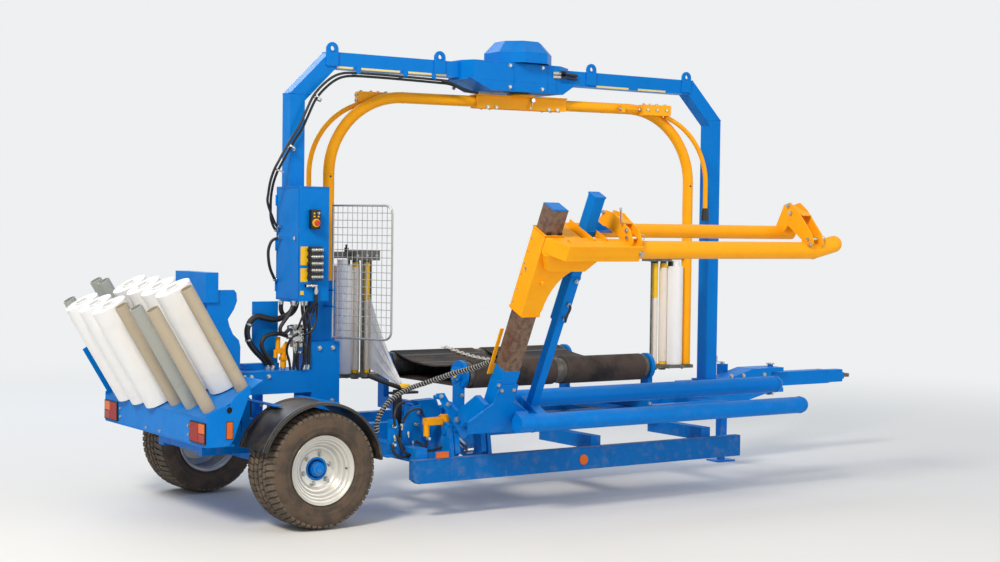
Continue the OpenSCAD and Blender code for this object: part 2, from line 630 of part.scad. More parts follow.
module arm_half() {
    rod([fit, 0, arm_z], [arm_r - arm_bend, 0, arm_z], arm_d);
    translate([arm_r - arm_bend, 0, arm_z - arm_bend])
        rotate([90, 0, 0]) rotate_extrude(angle = 90) translate([arm_bend, 0]) circle(d = arm_d);
    rod([arm_r, 0, leg_z], [arm_r, 0, arm_z - arm_bend], arm_d);
    // Box and tension rod on the side of the tube, and the bow that they hold
    x0 = arm_r - 515;
    block([x0, x0 + 266], [-arm_d / 2 - 70, -arm_d / 2 + 12], [arm_z - 50, arm_z + 36]);
    rod([x0 - 172, -arm_d / 2 - 30, arm_z - 5], [x0 + 10, -arm_d / 2 - 30, arm_z - 5], 16);
    block([x0 - 190, x0 - 160], [-arm_d / 2 - 50, -arm_d / 2 + 12], [arm_z - 35, arm_z + 25]);
    translate([arm_r - 432, -arm_d / 2 - 20, arm_z - 603]) rotate([90, 0, 0])
        rotate_extrude(angle = 74) translate([568, 0]) circle(d = 38, $fn = 32);
    rod([arm_r + 136, -arm_d / 2 - 20, arm_z - 820], [arm_r + 136, -arm_d / 2 - 20, arm_z - 603], 38);
}

module arm_front() on_arm() color(orange) arm_half();
module arm_rear() on_arm() color(orange) rotate([0, 0, 180]) arm_half();

// One film dispenser, which hangs on a leg of the arm: plates and stretch rollers
module dispenser() {
    y = arm_d / 2;
    difference() {
        block([arm_r - base_len, arm_r + 25], [-90, 90], [leg_z - 28, leg_z - fit]);
        translate([arm_r - base_len, 60, leg_z - 29]) rotate(45) translate([-60, 0, 0]) cube([60, 60, 42]);
    }
    side_plate([[arm_r - 397, leg_z + 865], [arm_r - 187, leg_z + 865], [arm_r - 187, leg_z + 940],
        [arm_r - 397, leg_z + 940]], -70, 70);
    side_plate([[arm_r - 200, leg_z + 880], [arm_r - y - fit, leg_z + 880], [arm_r - y - fit, leg_z + 930],
        [arm_r - 200, leg_z + 930]], -25, 25);
    // Stretch rollers, tie rod and feeler rod: place before the leg and diameter
    for (p = [[227, 52], [312, 53]])
        rod([arm_r - p[0], 0, leg_z - fit], [arm_r - p[0], 0, leg_z + 870], p[1]);
    rod([arm_r - 267, 45, leg_z - fit], [arm_r - 267, 45, leg_z + 870], 28);
    rod([arm_r - 364, -35, leg_z - fit], [arm_r - 364, -35, leg_z + 870], 15);
}

module dispenser_front() on_arm() color(silver) dispenser();
module dispenser_rear() on_arm() color(silver) rotate([0, 0, 180]) dispenser();
module dispenser_film() on_arm() color("white")
    for (a = [0, 180])
        rotate([0, 0, a]) {
            rod([used_r, 0, leg_z], [used_r, 0, leg_z + 825], used_d);
            rod([used_r, 0, leg_z + 800], [used_r, 0, leg_z + 870], 88);
        }

// Loading arm: x along the machine, y towards the middle, z up the mast
module on_loader() in_frame() translate([0, -pivot_y, pivot_z]) rotate([mast_lean, 0, 0])
    translate([mast_x, -mast_off, 0]) children();

module loader_mast() on_loader() color(worn) difference() {
    block([-mast_tube / 2, mast_tube / 2], [-mast_tube / 2, mast_tube / 2], [mast_z0, mast_z0 + mast_len]);
    block([-mast_tube / 2 + 8, mast_tube / 2 - 8], [-mast_tube / 2 + 8, mast_tube / 2 - 8],
        [mast_z0 + 8, mast_z0 + mast_len - 8]);
}

module loader_forks() on_loader() color(blue) {
    difference() {
        union() {
            side_plate([[-230, mast_z0], [418, mast_z0], [390, mast_z0 + 95], [205, mast_z0 + 172],
                [85, mast_z0 + 241], [75, mast_z0 + 385], [-75, mast_z0 + 385], [-85, mast_z0 + 241],
                [-250, mast_z0 + 98]],
                -mast_tube / 2 - 12 - fit, -mast_tube / 2 - fit);
            for (x = [-150, 75])
                cross_plate([[-mast_tube / 2 - 2 * fit, mast_z0], [mast_tube / 2, mast_z0], [mast_tube / 2 + 20, mast_z0 - 3],
                    [mast_off - 62, 20], [lift_y1 - 42, -lift_z1], [lift_y1 - 25, -lift_z1 - 35],
                    [lift_y1 + 30, -lift_z1 - 35], [mast_off + 40, -40], [mast_off + 62, 10], [mast_off + 50, 70],
                    [mast_tube / 2, mast_z0 + 230], [-mast_tube / 2 - 2 * fit, mast_z0 + 230]], x, x + 40);
        }
        translate([-300, mast_off, 0]) rotate([0, 90, 0]) cylinder(r = pivot_d / 2 + run, h = 600);
    }
    for (s = [-1, 1])
        translate([0, s * fork_gap / 2, fork_z]) {
            rod([100, 0, 0], [fork_x1 - mast_x - fork_d / 2, 0, 0], fork_d);
            translate([fork_x1 - mast_x - fork_d / 2, 0, 0]) sphere(d = fork_d);
        }
    block([120, 220], [-fork_gap / 2, fork_gap / 2], [fork_z - 50, fork_z + 50 - fit]);
    block([post_x - 40, post_x + 40], [-fork_gap / 2, fork_gap / 2], [fork_z - 40, fork_z + 50 - fit]);
}

// Tube that stands on the forks' cross bar, in front of the mast; the clamp cylinder's outer half
module loader_post() on_loader() color(blue) {
    r = 32;
    block([post_x - r, post_x + r], [post_dy - r, post_dy + r], [fork_z + 50, clamp_z - 140]);
}

// The lift cylinder, drawn along its own Z axis from the rear pin
module on_lift() {
    c = cos(mast_lean);
    s = sin(mast_lean);
    q = [mast_x - 18, -pivot_y + (lift_y1 - mast_off) * c + lift_z1 * s,
        pivot_z + (lift_y1 - mast_off) * s - lift_z1 * c];
    in_frame() along([mast_x - 18, -lift_y, lift_z], q) children();
}

module lift_barrel() on_lift() color(orange) difference() {
    union() {
        cylinder(d = 80, h = lift_len);
        rotate([90, 0, 0]) cylinder(d = 80, h = 60, center = true);
    }
    rotate([90, 0, 0]) cylinder(d = 40 + 2 * run, h = 200, center = true);
    translate([0, 0, 60]) cylinder(d = 45 + 2 * run, h = lift_len);
}

// The rod's eye is left open: its pin would close the linkage
module lift_rod() on_lift() color(silver) difference() {
    union() {
        translate([0, 0, lift_stroke]) cylinder(d = 45, h = lift_now - lift_stroke);
        translate([0, 0, lift_now]) rotate([90, 0, 0]) cylinder(d = 64, h = 50, center = true);
    }
    translate([0, 0, lift_now]) rotate([90, 0, 0]) cylinder(d = 36, h = 200, center = true);
}

module on_clamp() on_loader() translate([0, 0, clamp_z]) children();

module clamp_carriage() on_clamp() color(orange) {
    r = mast_tube / 2 + 14;
    difference() {
        block([-r, r], [-r, r], [-sleeve_len + pipe_d / 2, pipe_d / 2]);
        block([-r + 14 - fit, r - 14 + fit], [-r + 14 - fit, r - 14 + fit], [-sleeve_len, pipe_d]);
    }
    // Cheek plates, hollowed by an arc towards the load
    for (y = [-r, r - 10])
        side_plate([[r - 5, -50 - fit], [r - 5, -sleeve_len + pipe_d / 2 + 45],
            for (t = [0 : 10 : 90]) [r + 252 - 245 * cos(t), -sleeve_len + pipe_d / 2 + 45 + 335 * sin(t)],
            [r + 252, -50 - fit]], y, y + 10);
}

module clamp_pipes() on_clamp() color(orange) {
    x0 = mast_tube / 2 + 14 + fit;
    y = pipe_gap / 2;
    x1 = pipe_x1 - mast_x - 240;
    rod([x0, -y, 0], [x1, -y, 0], pipe_d);
    // The outer pipe's tip bends up
    translate([x1, -y, 0]) sphere(d = pipe_d);
    rod([x1, -y, 0], [x1 + 190, -y, 55], pipe_d);
    translate([x1 + 190, -y, 55]) sphere(d = pipe_d);
    rod([x0, y, 0], [pipe2_x1 - mast_x, y, 0], 100);
    block([x0, 230], [-y, y], [-50, 50]);
    // Flat bar along the outer pipe's root
    block([x0, 660], [-y - pipe_d / 2 - 6, -y - pipe_d / 2 + 10], [-22, 30]);
    // Bridge that holds the clamp tube
    for (x = [post_x - 60, post_x + 52])
        block([x, x + 8], [-y, y], [30, 80]);
    // Cross brackets from the outer to the inner pipe
    for (x = [560, 640])
        cross_plate([[-y - 50, 20], [-y - 58, 90], [-y + 20, 150], [-20, 160], [60, 175], [y + 10, 150],
            [y + 50, 60], [y + 40, 0], [y - 30, 0], [60, 60], [-y + 90, 50], [-y + 30, 0]], x, x + 12);
    for (x = [pipe2_x1 - mast_x - 130, pipe2_x1 - mast_x - 30])
        cross_plate([[-y - 50, 20], [-y - 55, 90], [-y - 10, 140], [60, 235], [y, 250], [y + 45, 210],
            [y + 50, 20], [y - 30, -20], [y - 60, 90], [-y + 60, 60], [-y + 30, 0]], x, x + 14);
}

// Square tube that slides with the clamp over the post on the forks
module clamp_tube() on_clamp() color(blue) {
    r = 42;
    z0 = -640;
    difference() {
        block([post_x - r, post_x + r], [post_dy - r, post_dy + r], [z0, 330]);
        block([post_x - r + 9, post_x + r - 9], [post_dy - r + 9, post_dy + r - 9], [z0 - 1, 320]);
    }
}

module guard() in_frame() color(silver) translate([guard_x, guard_y, 0]) rotate([0, 0, -65]) {
    w = 522;
    z = [link_z - 260, link_z + 707];
    r = 60;
    rod([0, 0, z[0]], [0, 0, z[1]], 16);
    // Frame with round outer corners
    for (k = [0, 1]) {
        rod([0, 0, z[k]], [w - r, 0, z[k]], 16);
        translate([w - r, 0, k == 0 ? z[0] + r : z[1] - r]) rotate([90, 0, 0]) rotate(k == 0 ? -90 : 0)
            rotate_extrude(angle = 90) translate([r, 0]) circle(d = 16, $fn = 16);
    }
    rod([w, 0, z[0] + r], [w, 0, z[1] - r], 16);
    for (i = [1 : 8]) rod([0, 0, z[0] + i * 107], [w, 0, z[0] + i * 107], 8);
    for (i = [1 : 5]) rod([i * 87, 0, z[0]], [i * 87, 0, z[1]], 8);
}

module drawbar() in_frame() color(blue) difference() {
    union() {
        translate([draw_x, 0, eye_z - 66]) cylinder(r = 62, h = 132);
        side_plate([[draw_x, eye_z - 62], [eye_x - 260, eye_z - 62], [eye_x - 45, eye_z - 30], [eye_x - 45, eye_z + 30],
            [eye_x - 260, eye_z + 62], [draw_x, eye_z + 62]], -55, 55);
    }
    translate([draw_x, 0, 0]) cylinder(r = 25 + run, h = 2000);
    translate([eye_x, 0, 0]) cylinder(r = 55 + fit, h = 2000);
}

module tow_eye() in_frame() color(worn) difference() {
    translate([eye_x, 0, eye_z - eye_t / 2]) cylinder(d = 110, h = eye_t);
    translate([eye_x, 0, eye_z - eye_t]) cylinder(d = eye_bore, h = 2 * eye_t);
}

main_frame();
axle();
side_sill();
rear_rack();
rear_stand();
rear_post();
arch_beam();
front_post();
slew_drive();
control_box();
valve_bank();
hoses();
fender(-1);  // fender_right
fender(1);  // fender_left
table_frame();
table_rollers();
table_belts();
film_rolls();
cores_card();
cores_grey();
lamps();
jack();
loader_bracket();
tyre(-1);  // tyre_right
rim(-1);  // rim_right
hub(-1);  // hub_right
tyre(1);  // tyre_left
rim(1);  // rim_left
hub(1);  // hub_left
arm_hub();
arm_rear();
arm_front();
dispenser_rear();
dispenser_front();
dispenser_film();
loader_mast();
loader_forks();
loader_post();
lift_barrel();
lift_rod();
clamp_carriage();
clamp_pipes();
clamp_tube();
guard();
drawbar();
tow_eye();
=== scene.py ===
"""Look of the trailed square bale wrapper: finishes, wheels, small parts, hoses and light."""

import logging
import math
import random
from dataclasses import dataclass, field
from enum import Enum

import bmesh
import bpy
from mathutils import Matrix, Vector


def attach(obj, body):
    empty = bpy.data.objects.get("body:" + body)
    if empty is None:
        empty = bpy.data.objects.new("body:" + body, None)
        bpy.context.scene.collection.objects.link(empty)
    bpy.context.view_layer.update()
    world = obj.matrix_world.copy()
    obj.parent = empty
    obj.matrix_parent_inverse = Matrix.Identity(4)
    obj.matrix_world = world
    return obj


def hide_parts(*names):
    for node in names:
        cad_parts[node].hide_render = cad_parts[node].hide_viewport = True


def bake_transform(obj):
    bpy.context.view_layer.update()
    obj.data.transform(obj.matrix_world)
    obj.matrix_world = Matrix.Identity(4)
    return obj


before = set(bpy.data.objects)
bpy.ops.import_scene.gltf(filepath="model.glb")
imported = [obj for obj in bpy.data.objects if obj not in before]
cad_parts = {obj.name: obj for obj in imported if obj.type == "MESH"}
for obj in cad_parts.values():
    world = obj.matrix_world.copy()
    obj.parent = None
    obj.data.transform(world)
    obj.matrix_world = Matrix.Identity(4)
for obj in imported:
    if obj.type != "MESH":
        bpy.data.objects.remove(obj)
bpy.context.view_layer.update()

logging.basicConfig(level=logging.INFO, format="%(message)s")
LOG = logging.getLogger("wrapper")

Point = tuple[float, float, float]
Span = tuple[float, float]

# Main places in millimetres and angles in degrees, as the CAD part has them
EYE_X, EYE_Z = 6060.0, 725.0
AXLE_Z, WHEEL_Y = 403.0, 912.0
ARM_X, ARM_TURN = 2327.0, -8.3
PIVOT_X, PIVOT_Y, PIVOT_Z = 1240.0, -950.0, 600.0
MAST_LEAN, MAST_OFF = 26.0, -238.0
CLAMP_UP = 1646.0
RACK_X, RACK_Z, RACK_LEAN = -760.0, 770.0, -31.0

# Local frames in millimetres. The machine frame has X forward from the axle, Y to the left, Z up from the ground.
MACHINE = Matrix.Scale(0.001, 4) @ Matrix.Translation((-EYE_X, 0.0, -EYE_Z))
ARM = MACHINE @ Matrix.Translation((ARM_X, 0.0, 0.0)) @ Matrix.Rotation(math.radians(ARM_TURN), 4, "Z")
ARM_BACK = ARM @ Matrix.Rotation(math.pi, 4, "Z")
LOADER = (MACHINE @ Matrix.Translation((0.0, PIVOT_Y, PIVOT_Z)) @ Matrix.Rotation(math.radians(MAST_LEAN), 4, "X")
          @ Matrix.Translation((PIVOT_X, MAST_OFF, 0.0)))
CLAMP = LOADER @ Matrix.Translation((0.0, 0.0, CLAMP_UP))
RACK = MACHINE @ Matrix.Translation((RACK_X, 0.0, RACK_Z)) @ Matrix.Rotation(math.radians(RACK_LEAN), 4, "Y")


class Side(Enum):
    """Side of the machine; the value is the sign of Y."""

    RIGHT = -1
    LEFT = 1

    def wheel_frame(self) -> Matrix:
        """Frame at a wheel's middle whose Z axis points outwards."""
        return (MACHINE @ Matrix.Translation((0.0, self.value * WHEEL_Y, AXLE_Z))
                @ Matrix.Rotation(math.radians(-90.0 * self.value), 4, "X"))


class Wear(Enum):
    """How far the noise spreads over a finish: start and end of its ramp."""

    CLEAN = (0.55, 0.8)
    DUSTY = (0.42, 0.78)
    MUDDY = (0.35, 0.62)
    RUBBED = (0.38, 0.6)


# What lies on or wears off the paint, as colours that are seen
DUST, MUD = "#A79C88", "#9A8A6C"
RUBBED = {"blue": "#8FA3B5"}
RUBBED_ELSE = "#B98A4A"
# A wave texture of scale 1 on Object coordinates repeats every 314 millimetres
WAVE_MM = 314.0


def srgb(code: str) -> tuple[float, float, float, float]:
    """Turn a #RRGGBB colour into linear values.

    Args:
        code: Colour as it is seen, such as "#0068C8".

    Returns:
        Linear red, green, blue and an alpha of 1.
    """
    out = []
    for i in (1, 3, 5):
        v = int(code[i:i + 2], 16) / 255
        out.append(v / 12.92 if v <= 0.04045 else ((v + 0.055) / 1.055) ** 2.4)
    return out[0], out[1], out[2], 1.0


def add(tree: bpy.types.NodeTree, kind: str, sockets: dict | None = None, **settings: object) -> bpy.types.Node:
    """Add one node with its settings, values and links.

    Args:
        tree: Tree that takes the node.
        kind: Blender's name of the node type.
        sockets: Value or output socket for each input, by name or number.
        settings: Properties of the node.

    Returns:
        The new node.
    """
    node = tree.nodes.new(kind)
    for key, value in settings.items():
        setattr(node, key, value)
    for key, value in (sockets or {}).items():
        if isinstance(value, bpy.types.NodeSocket):
            tree.links.new(value, node.inputs[key])
        else:
            node.inputs[key].default_value = value
    return node


@dataclass(frozen=True)
class Finish:
    """One real finish and the material that shows it."""

    title: str
    slot: str
    color: str
    second: str
    rough: float
    metal: float = 0.0
    spec: float = 0.5
    wear: Wear = Wear.CLEAN
    grain_mm: float = 120.0
    amount: float = 0.35
    dust: float = 0.0
    soil: float = 0.0
    edge: float = 0.0
    round_mm: float = 2.5
    bump: float = 0.0
    bump_mm: float = 4.0
    coat: float = 0.0
    bands_mm: float = 0.0
    lean: float = 0.0

    def material(self) -> bpy.types.Material:
        """Build the material once and hand it back.

        Returns:
            The material of this finish.
        """
        found = bpy.data.materials.get(self.title)
        if found:
            return found
        mat = bpy.data.materials.new(self.title)
        mat.use_nodes = True
        tree = mat.node_tree
        tree.nodes.clear()
        where = add(tree, "ShaderNodeTexCoord").outputs["Object"]
        facing = add(tree, "ShaderNodeNewGeometry")
        low, high = self.wear.value
        stain = self.ramp(tree, self.noise(tree, where, self.grain_mm), low, high, self.amount)
        color = self.mix(tree, stain, srgb(self.color), srgb(self.second))
        soft = add(tree, "ShaderNodeBevel", {"Radius": self.round_mm / 1000}, samples=4).outputs["Normal"]
        rough = stain
        if self.edge:
            turn = add(tree, "ShaderNodeVectorMath", {0: soft, 1: facing.outputs["Normal"]}, operation="DOT_PRODUCT")
            rub = self.ramp(tree, self.noise(tree, where, 35.0), 0.5, 0.62, 1.0)
            rim = self.ramp(tree, turn.outputs["Value"], 0.985, 0.9, self.edge)
            worn = add(tree, "ShaderNodeMath", {0: rim, 1: rub}, operation="MULTIPLY").outputs[0]
            color = self.mix(tree, worn, color, srgb(RUBBED.get(self.slot, RUBBED_ELSE)))
        if self.dust:
            up = add(tree, "ShaderNodeSeparateXYZ", {0: facing.outputs["Normal"]}).outputs["Z"]
            top = self.ramp(tree, up, 0.35, 0.95, self.dust)
            patch = self.ramp(tree, self.noise(tree, where, 260.0), 0.3, 0.7, 1.0)
            film = add(tree, "ShaderNodeMath", {0: top, 1: patch}, operation="MULTIPLY").outputs[0]
            color = self.mix(tree, film, color, srgb(DUST))
            rough = add(tree, "ShaderNodeMath", {0: rough, 1: film}, operation="ADD", use_clamp=True).outputs[0]
        if self.soil:
            high_up = add(tree, "ShaderNodeSeparateXYZ", {0: where}).outputs["Z"]
            depth = add(tree, "ShaderNodeMapRange", {"Value": high_up, "From Min": 0.05, "From Max": -0.6,
                                                     "To Min": 0.0, "To Max": 1.0}).outputs["Result"]
            clod = self.ramp(tree, self.noise(tree, where, 70.0), 0.48, 0.7, self.soil)
            mud = add(tree, "ShaderNodeMath", {0: depth, 1: clod}, operation="MULTIPLY", use_clamp=True).outputs[0]
            color = self.mix(tree, mud, color, srgb(MUD))
            rough = add(tree, "ShaderNodeMath", {0: rough, 1: mud}, operation="ADD", use_clamp=True).outputs[0]
        span = add(tree, "ShaderNodeMapRange", {"Value": rough, "To Min": self.rough,
                                                "To Max": min(1.0, self.rough + 0.3)}).outputs["Result"]
        normal = soft
        if self.bump:
            fine = self.noise(tree, where, self.bump_mm)
            normal = add(tree, "ShaderNodeBump", {"Strength": self.bump, "Distance": 0.002, "Height": fine,
                                                  "Normal": normal}).outputs["Normal"]
        if self.bands_mm:
            turned = add(tree, "ShaderNodeMapping", {"Vector": where, "Rotation": (0.0, math.radians(self.lean), 0.0)})
            band = add(tree, "ShaderNodeTexWave", {"Vector": turned.outputs["Vector"],
                                                   "Scale": WAVE_MM / self.bands_mm, "Distortion": 1.5, "Detail": 2.0},
                                                   bands_direction="Z")
            normal = add(tree, "ShaderNodeBump", {"Strength": 0.25, "Distance": 0.001, "Normal": normal,
                                                  "Height": band.outputs["Fac"]}).outputs["Normal"]
        sockets = {"Base Color": color, "Roughness": span, "Normal": normal, "Metallic": self.metal,
                   "Specular IOR Level": self.spec}
        if self.coat:
            sockets |= {"Coat Weight": self.coat, "Coat Roughness": 0.1}
        shader = add(tree, "ShaderNodeBsdfPrincipled", sockets)
        add(tree, "ShaderNodeOutputMaterial", {"Surface": shader.outputs["BSDF"]})
        return mat

    @staticmethod
    def noise(tree: bpy.types.NodeTree, where: bpy.types.NodeSocket, size_mm: float) -> bpy.types.NodeSocket:
        """Cloudy pattern whose patches are about size_mm across."""
        return add(tree, "ShaderNodeTexNoise", {"Vector": where, "Scale": 1000 / size_mm, "Detail": 5.0,
                                                "Roughness": 0.62}).outputs["Fac"]

    @staticmethod
    def ramp(tree: bpy.types.NodeTree, fac: bpy.types.NodeSocket, low: float, high: float,
             top: float) -> bpy.types.NodeSocket:
        """Grey value that goes from 0 at low to top at high, either way round."""
        return add(tree, "ShaderNodeMapRange", {"Value": fac, "From Min": low, "From Max": high, "To Min": 0.0,
                                                "To Max": top}, interpolation_type="SMOOTHSTEP").outputs["Result"]

    @staticmethod
    def mix(tree: bpy.types.NodeTree, fac: bpy.types.NodeSocket, one: object, two: object) -> bpy.types.NodeSocket:
        """Colour between one and two."""
        return add(tree, "ShaderNodeMix", {"Factor": fac, "A": one, "B": two}, data_type="RGBA").outputs["Result"]


# Gloss enamel on welded steel: deep, even colour, dust on top faces, soil low down
BLUE = Finish("blue_enamel", "blue", "#0079D2", "#006BC0", 0.34, spec=0.08, wear=Wear.DUSTY, amount=0.4, dust=0.1,
              soil=0.35, edge=0.5)
# The side sill's enamel: darker than the rest, partly for soil and spray from the field and partly painted shade of
# the shadow that lies on the sill
SILL_BLUE_SOIL_AND_SHADE = Finish("soiled_blue_enamel", "blue", "#0668B4", "#0A5288", 0.45, spec=0.1, grain_mm=300,
                  amount=0.6, dust=0.5, soil=0.25, edge=0.35)
# The same enamel in the machine's second colour
ORANGE = Finish("orange_enamel", "orange", "#FFAC12", "#F59E0C", 0.38, spec=0.14, wear=Wear.DUSTY, amount=0.45,
                dust=0.1, edge=0.3)
# Sign yellow on plates and valve bodies
YELLOW = Finish("yellow_enamel", "orange", "#F4C21A", "#D8A416", 0.4, spec=0.3, amount=0.4)
# Pale reflecting foil under the beam
FOIL = Finish("pale_foil", "orange", "#E4D48A", "#CDBB6A", 0.45, amount=0.4)
# Mast steel that the clamp's rollers keep bare: rust brown with rubbed streaks
WORN = Finish("rubbed_mast_steel", "worn", "#63483A", "#927A66", 0.45, metal=0.35, wear=Wear.RUBBED, grain_mm=38,
              amount=0.6, bump=0.25, bump_mm=6)
# Galvanised or plated small parts
ZINC = Finish("zinc_plated_steel", "zinc", "#B4B6B2", "#7E807C", 0.34, metal=0.85, grain_mm=22, amount=0.5, round_mm=1)
# Plated heads and plates that weather has dulled
DULL = Finish("dulled_steel", "zinc", "#6C6B66", "#4C4842", 0.5, metal=0.6, wear=Wear.RUBBED, grain_mm=45, amount=0.6)
# Round steel of the stretch rollers and rods
STEEL = Finish("turned_steel", "zinc", "#C9CBC8", "#9A9C98", 0.24, metal=0.95, grain_mm=60, amount=0.4, round_mm=1)
# Wheel rims in silver paint with road dirt in the dish
SILVER = Finish("silver_wheel_paint", "zinc", "#D2D0C8", "#B4AEA0", 0.34, metal=0.45, grain_mm=120, amount=0.35,
                soil=0.1)
# Tyre rubber with dried soil rubbed into the wall
TYRE = Finish("tyre_rubber", "tyre", "#565048", "#7A6A5A", 0.88, spec=0.2, wear=Wear.MUDDY, grain_mm=60, amount=0.6,
              bump=0.5, bump_mm=5, round_mm=2)
# Wall of the tyre, browner than the tread
WALL = Finish("tyre_wall_rubber", "tyre", "#4C443D", "#6A584A", 0.85, spec=0.2, wear=Wear.MUDDY, grain_mm=90,
              amount=0.7, bump=0.35, bump_mm=4, round_mm=2)
# Hose rubber, a little grey with dust
RUBBER = Finish("black_hose_rubber", "rubber", "#17171A", "#35322F", 0.5, wear=Wear.DUSTY, amount=0.5)
# White plastic band wound round the long hose
BAND = Finish("white_spiral_band", "grey", "#D8D8D2", "#A8A69C", 0.5, amount=0.4)
# Broad belts of the table, dusty from bales
BELT = Finish("belt_rubber", "rubber", "#242325", "#5B4E46", 0.78, spec=0.25, wear=Wear.MUDDY, grain_mm=240,
              amount=0.65, bump=0.4, bump_mm=9)
# Moulded fenders, scuffed and dusty
PLASTIC = Finish("black_moulded_plastic", "plastic", "#2B2A29", "#5C574F", 0.38, spec=0.35, wear=Wear.DUSTY,
                 grain_mm=160, amount=0.5, dust=0.2, soil=0.45, bump=0.08)
# Housings, caps and buttons
DARK = Finish("dark_plastic", "plastic", "#141416", "#2A2A2C", 0.45, amount=0.3)
# Rolls of stretch film: many thin layers show as fine rings
FILM = Finish("white_stretch_film", "film", "#F0F0F0", "#DDDFE4", 0.3, amount=0.5, grain_mm=180, bands_mm=9.0,
              lean=-31.0)
# Film that wraps the stretch rollers, yellowed by its glue
WRAP = Finish("film_on_rollers", "film", "#EADFD2", "#CDBBA8", 0.35, amount=0.5, grain_mm=60, bands_mm=70, lean=20)
# Lighter grey strips on the crests of the fenders' beads: a painted highlight
BEAD_HIGHLIGHT = Finish("scuffed_plastic_edge", "plastic", "#7E7D7A", "#4E4C48", 0.3, amount=0.6, grain_mm=60)
# Film stretched into a web with folds
WEB = Finish("stretched_film_web", "film", "#D9DCE0", "#A9AFB6", 0.35, wear=Wear.DUSTY, grain_mm=80, amount=0.6)
# Cardboard cores, wound paper
CARD = Finish("cardboard", "card", "#B5A994", "#958A7A", 0.85, spec=0.2, grain_mm=45, amount=0.5, bands_mm=26,
              lean=-31.0)
# Grey plastic cores
GREY = Finish("grey_plastic_tube", "grey", "#A3A6A0", "#868981", 0.5, amount=0.5)
# Ribbed red lens
LENS = Finish("red_lens", "lamp", "#98180F", "#6E0E0A", 0.28, spec=0.25, coat=0.1, bands_mm=6)
# Ribbed amber lens
AMBER = Finish("amber_lens", "lamp", "#D8640C", "#A8480A", 0.28, spec=0.25, coat=0.1, bands_mm=6)
# Red cap of the stop button
RED = Finish("red_button", "lamp", "#D42218", "#A81A12", 0.3, coat=0.3)

BY_NODE: dict[str, Finish] = {
    "fender_right": PLASTIC, "fender_left": PLASTIC, "table_belts": BELT, "table_rollers": DULL, "film_rolls": FILM,
    "cores_card": CARD, "cores_grey": GREY, "lamps": DARK, "valve_bank": DARK, "arm_hub": ORANGE, "arm_rear": ORANGE,
    "arm_front": ORANGE, "dispenser_rear": DULL, "dispenser_front": DULL, "dispenser_film": FILM,
    "loader_mast": WORN, "clamp_carriage": ORANGE, "clamp_pipes": ORANGE, "guard": ZINC, "tow_eye": WORN,
    "lift_barrel": ORANGE, "lift_rod": STEEL, "hoses": RUBBER, "rim_right": SILVER, "rim_left": SILVER,
    # The side sill's darker enamel holds painted shade as well as soil
    "tyre_right": TYRE, "tyre_left": TYRE, "side_sill": SILL_BLUE_SOIL_AND_SHADE,
}


